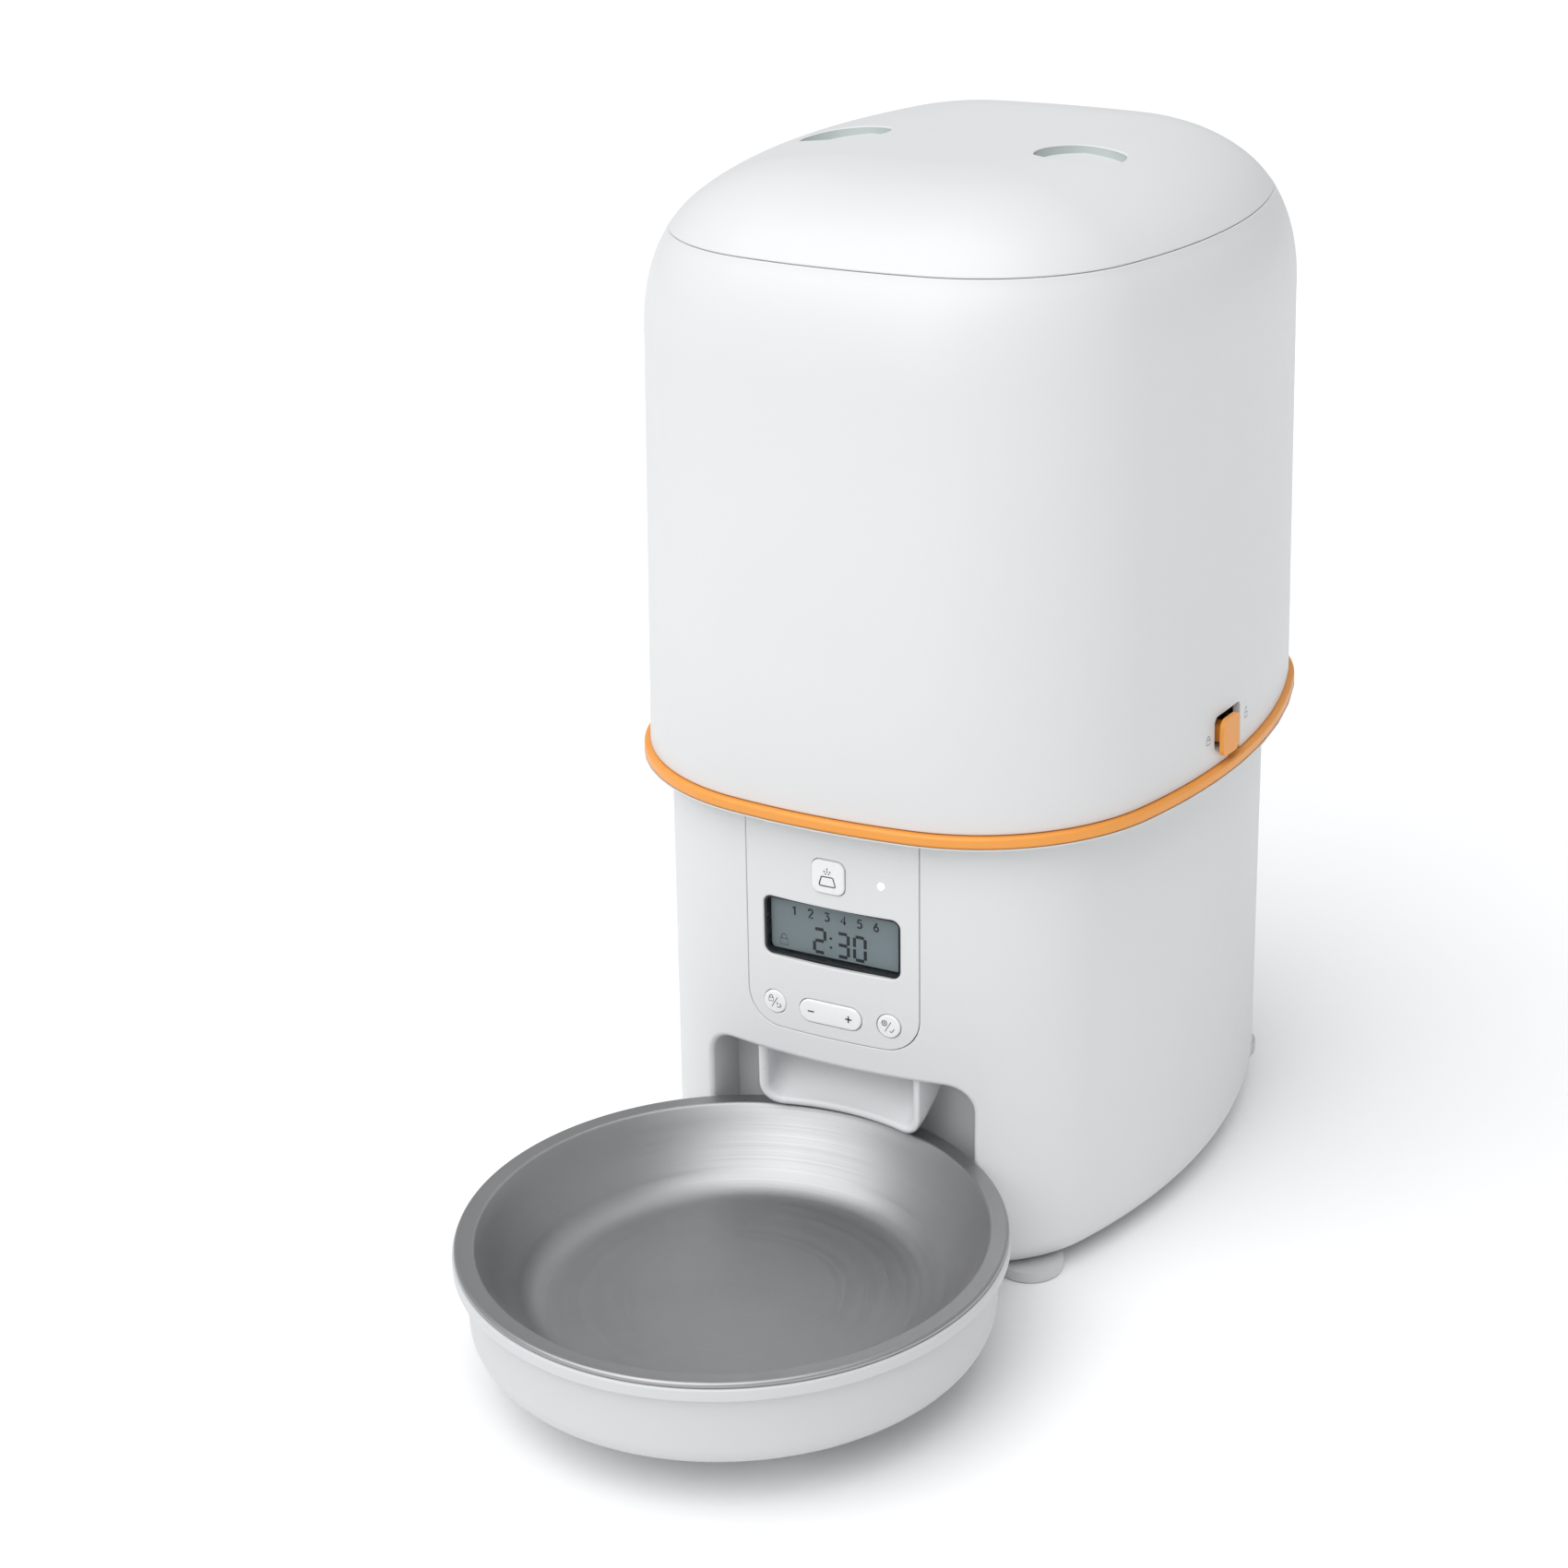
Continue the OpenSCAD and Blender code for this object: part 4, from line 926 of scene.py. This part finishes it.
def lid_place(x, y, d):
    depth, nx, ny = RING.depth(x, y)
    slope = (top_height(-depth + 0.05) - top_height(-depth - 0.05)) / 0.1
    size = math.hypot(slope, 1)
    return (x, y, top_height(-depth) - d), (-slope * nx / size, -slope * ny / size, 1 / size)


lid_rim = [RING.at(s, edge_u)[:2] for s in RING.stops()]
sheet("lid_skin_top", lambda first: [lid_rim] + first,
      [(eye(-1), 0.45, [4, 9], True), (eye(1), 0.45, [4, 9], True)],
      ([x * 2.5 for x in range(-24, 25)], [y * 2.5 for y in range(-32, 33)]), lid_place,
      **looks("white_shell", "lid", ["lid"]))

# scooped insert under each pocket: shallow on the near side, a steep wall under the far lip with a gap above it
rows, columns, scoop_depth = 17, 25, 9
for side, name in ((-1, "left"), (1, "right")):
    verts = []
    for j in range(rows):
        q = -1 + 2 * j / (rows - 1)
        for i in range(columns):
            p = -1 + 2 * i / (columns - 1)
            x = p * (pocket_half - 0.2)
            reach = math.sqrt(pocket_r ** 2 - x * x) - pocket_off
            y = q * (reach - (0.5 if q > 0 else 0.02))
            bottom = (1 - p * p) ** 0.8 * scoop_depth
            if q < 0.2:
                fall = ((q + 1) / 1.2) ** 1.2
            else:
                fall = 1 - ((q - 0.2) / 0.8) ** 1.6
            fx, fy = on_pocket(side, x, y)
            verts.append((fx, fy, top_height(-RING.depth(fx, fy)[0]) - 0.45 - bottom * fall))
    # the scoop is part of the white lid shell; its darker grey-green material is painted shade of the pocket's inner
    # wall
    scoop = looks("white_shell", "lid")
    scoop["material"] = MATERIALS["scoop_painted_shade"]
    new_piece(f"finger_scoop_{name}", verts, grid_faces(rows, columns, wrap_columns=False), sharp=60, **scoop)

# marks beside the lock slot
side_point = wall_place(RING, hopper_profile)


def on_side(y, z):
    return side_point(RING.side_s(y), hopper_profile.height(z, HOPPER_POINT), -0.03)[0]


print_mark("side_locked_mark", moved(padlock(), slot_y0 - 4.2, hopper_z0 + 9.6, 1.35), on_side, "base")
print_mark("side_open_mark", moved(padlock(True), slot_y1 + 4.8, hopper_z0 + 9.6, 1.35), on_side, "base")
edge = frame["nodes"]["lock_slider"].modifiers.new("broken_edge", "BEVEL")
edge.width, edge.segments, edge.limit_method, edge.angle_limit = 0.5 * MM, 3, "ANGLE", math.radians(40)

# ---- food spout
spout_w, spout_t, spout_r = 29.4, 2.8, 4.5
lip_r = 70.8                         # lip's distance from the bowl's axis
lip_round, splay = 1.3, 1.6          # the lip's roundness, and how much wider the spout is at the lip
spout_top = alcove_z + 1.2


def u_section(w, floor, r, rounding=7):
    """Left wall from the top, floor and right wall, as (x, z)."""
    left = arc(-w + r, floor + r, r, 180, 270, rounding)
    right = arc(w - r, floor + r, r, 270, 360, rounding)
    steps = [(-w, spout_top + (floor + r - spout_top) * k / 4) for k in range(4)]
    middle = [(-w + r + (2 * w - 2 * r) * k / 10, floor) for k in range(1, 10)]
    return steps + left + middle + right + [(-x, z) for x, z in steps[::-1]]


def lip_y(x, z):
    """Front edge of the spout: hollow in plan, so that it follows the bowl."""
    return bowl_y + math.sqrt(lip_r ** 2 - min(abs(x), spout_w) ** 2)


def spout_row(t, w, floor, r):
    """Section at t, from 0 at the back to 1 at the lip."""
    back_y = alcove_y - 0.5
    return [(x, back_y + (lip_y(x, z) + lip_round - back_y) * t, z) for x, z in u_section(w, floor, r)]


rows, depth_steps, lip_steps = [], 10, 6
inner_w = spout_w - spout_t
for k in range(depth_steps + 1):                 # inside, from the back to the lip
    t = k / depth_steps
    rows.append(spout_row(t, inner_w - splay * t, spout_z + spout_t + 15.5 * (1 - t) ** 1.25, spout_r))
for k in range(1, lip_steps):                    # round the lip
    a = math.pi * k / lip_steps
    grow = spout_t * (1 - math.cos(a)) / 2
    rows.append([(x, lip_y(x, z) + lip_round * (1 - math.sin(a)), z)
                 for x, z in u_section(inner_w - splay + grow, spout_z + spout_t - grow, spout_r + grow)])
for k in range(depth_steps + 1):                 # outside, from the lip to the back
    t = 1 - k / depth_steps
    rows.append(spout_row(t, spout_w - splay * t ** 2, spout_z + 13 * (1 - t) ** 1.25, spout_r + spout_t))
columns = len(rows[0])
new_piece("food_spout", [p for row in rows for p in row], grid_faces(len(rows), columns, wrap_columns=False),
          sharp=50, **looks("chute_white", "base", ["food_chute"]))

# duct between the deck and the spout: an open box that leans forward. Front and rear edges, as (y, z)
duct = [[(-72, base_z1), (-72, base_z1 - 34), (-96, alcove_z + 5), (-96, alcove_z + 1)],
        [(-48, base_z1), (-48, base_z1 - 42), (-84, alcove_z + 3), (-84, alcove_z + 1)]]
verts, faces = [], []
for gx, gy in ((23.4, 0), (25.2, 1.8)):          # inner and outer skin
    for (fy, z), (ry, rz) in zip(*duct):
        verts += [(-gx, fy - gy, z), (gx, fy - gy, z), (gx, ry + gy, rz), (-gx, ry + gy, rz)]
for j in range(3):
    for i in range(4):
        k = (i + 1) % 4
        faces.append((j * 4 + i, j * 4 + 4 + i, j * 4 + 4 + k, j * 4 + k))
        faces.append((16 + j * 4 + i, 16 + j * 4 + k, 20 + j * 4 + k, 20 + j * 4 + i))
for row in (0, 12):
    for i in range(4):
        k = (i + 1) % 4
        faces.append((row + i, row + k, row + 16 + k, row + 16 + i))
new_piece("food_duct", verts, faces, sharp=20, **looks("chute_white", "base"))

# ---- bowl and tray
inside = ([(r, bowl_z - 22.2) for r in (0, 12, 24, 36, 46)] + [(51, bowl_z - 22.0)]
          + arc(51, bowl_z - 7.5, 14.5, -82, -34, 9) + [(68.2, bowl_z - 9.8), (71.6, bowl_z - 4.2)]
          + arc(75.2, bowl_z - 1.35, 1.3, 150, 90, 4))
rim = ([(77.4, bowl_z - 0.12)] + arc(bowl_r - 0.95, bowl_z - 0.95, 0.95, 100, -90, 9)
       + [(bowl_r - 1.4, bowl_z - 1.0), (75, bowl_z - 0.95)])
outside = [(r, bowl_z - drop) for r, drop in
           ((72.4, 4.4), (68.9, 10.2), (64.8, 16.4), (59, 21.2), (52, 22.9), (0, 23))]
lathe("feeding_bowl_skin", 0, bowl_y, inside + rim + outside, closed=False, n=220,
      **looks("bowl_steel", "bowl", ["feeding_bowl"]))

collar = bowl_r + 0.6
tray_path = ([(0, tray_z), (bowl_r - 13, tray_z)] + arc(bowl_r - 12.2, tray_z + 9, 9, -85, 0, 10)
             + [(bowl_r - 2.4, bowl_z - 7), (bowl_r - 2.4, bowl_z - 5.6), (collar - 0.7, bowl_z - 5.6)]
             + arc(collar - 0.7, bowl_z - 4.9, 0.7, -90, 0, 4) + arc(collar - 0.6, bowl_z - 2.3, 0.6, 0, 90, 4)
             + [(75.5, bowl_z - 1.7), (75.2, bowl_z - 2.6), (74.6, bowl_z - 8), (73, tray_z + 9), (68, tray_z + 2.6),
                (66, tray_z + 2.4), (0, tray_z + 2.4)])
lathe("bowl_tray_skin", 0, bowl_y, tray_path, closed=False, n=220, **looks("tray_white", "tray", ["bowl_tray"]))
leg_ring = 44
leg_path = [(0, 1.6), (8.4, 1.6), (9, 2.2), (9, tray_z - 1.5), (10, tray_z + 0.3)]
for k in range(4):
    a = math.radians(45 + 90 * k)
    lathe(f"tray_leg_{k}", leg_ring * math.cos(a), bowl_y + leg_ring * math.sin(a), leg_path, closed=False, n=64,
          **looks("tray_white", "tray"))


def block(name, lo, hi, r, **made):
    """Box with rounded edges."""
    bm = bmesh.new()
    bmesh.ops.create_cube(bm, size=1)
    for v in bm.verts:
        v.co = [a + (b - a) * (t + 0.5) for a, b, t in zip(lo, hi, v.co)]
    bmesh.ops.bevel(bm, geom=bm.edges[:], offset=r, segments=3, profile=0.5, affect="EDGES")
    bm.verts.index_update()
    verts, faces = [tuple(v.co) for v in bm.verts], [[v.index for v in f.verts] for f in bm.faces]
    bm.free()
    return new_piece(name, verts, faces, sharp=None, **made)


tongue_w, tongue_y = 14, alcove_y + 8
block("tray_tongue", (-tongue_w, alcove_y - 16, tray_z + 2.2), (tongue_w, tongue_y, tray_z + 5.4), 0.6,
      **looks("tray_white", "tray"))
block("tray_catch", (-tongue_w, alcove_y + 5.6, tray_z + 3), (tongue_w, tongue_y, tray_z + 7.6), 0.6,
      **looks("tray_white", "tray"))

# ---- stage, light and camera
floor_mesh = bpy.data.meshes.new("floor")
half = 6
floor_mesh.from_pydata([(-half, -half, 0), (half, -half, 0), (half, half, 0), (-half, half, 0)], [], [(0, 1, 2, 3)])
floor = bpy.data.objects.new("floor", floor_mesh)
bpy.context.scene.collection.objects.link(floor)
floor_mesh.materials.append(plastic("pale_floor", (0.96, 0.96, 0.96), 0.9, grain=400, bump=0.02, spread=0.004))

world = bpy.data.worlds.new("studio")
bpy.context.scene.world = world
world.use_nodes = True
background = world.node_tree.nodes["Background"]
background.inputs["Color"].default_value = (0.97, 0.985, 1.0, 1)
background.inputs["Strength"].default_value = 0.5


def lamp(name, kind, place, target, energy):
    data = bpy.data.lights.new(name, kind)
    data.energy = energy
    obj = bpy.data.objects.new(name, data)
    bpy.context.scene.collection.objects.link(obj)
    obj.location = place
    obj.rotation_mode = "QUATERNION"
    obj.rotation_quaternion = (Vector(target) - Vector(place)).to_track_quat("-Z", "Y")
    return data


lamp("sky", "SUN", (-0.25, -0.95, 2.0), (0, 0, 0.15), 2.3).angle = math.radians(75)
strip = lamp("front_strip", "AREA", (-0.1, -1.7, 0.9), (0, 0, 0.2), 2.5)
strip.shape, strip.size, strip.size_y = "RECTANGLE", 0.8, 1.2

camera_data = bpy.data.cameras.new("camera")
camera = bpy.data.objects.new("camera", camera_data)
bpy.context.scene.collection.objects.link(camera)
bpy.context.scene.camera = camera
azimuth, elevation = math.radians(25.7), math.radians(22.53)
camera.location = (0.3767, -0.8031, 0.4891)
level = math.cos(elevation)
looking = Vector((-math.sin(azimuth) * level, math.cos(azimuth) * level, -math.sin(elevation)))
camera.rotation_mode = "QUATERNION"
camera.rotation_quaternion = looking.to_track_quat("-Z", "Y")
camera_data.lens, camera_data.sensor_width = 67.5, 36
camera_data.shift_x = -0.107
camera_data.clip_start = 0.05
bpy.context.scene.view_settings.view_transform = "Standard"
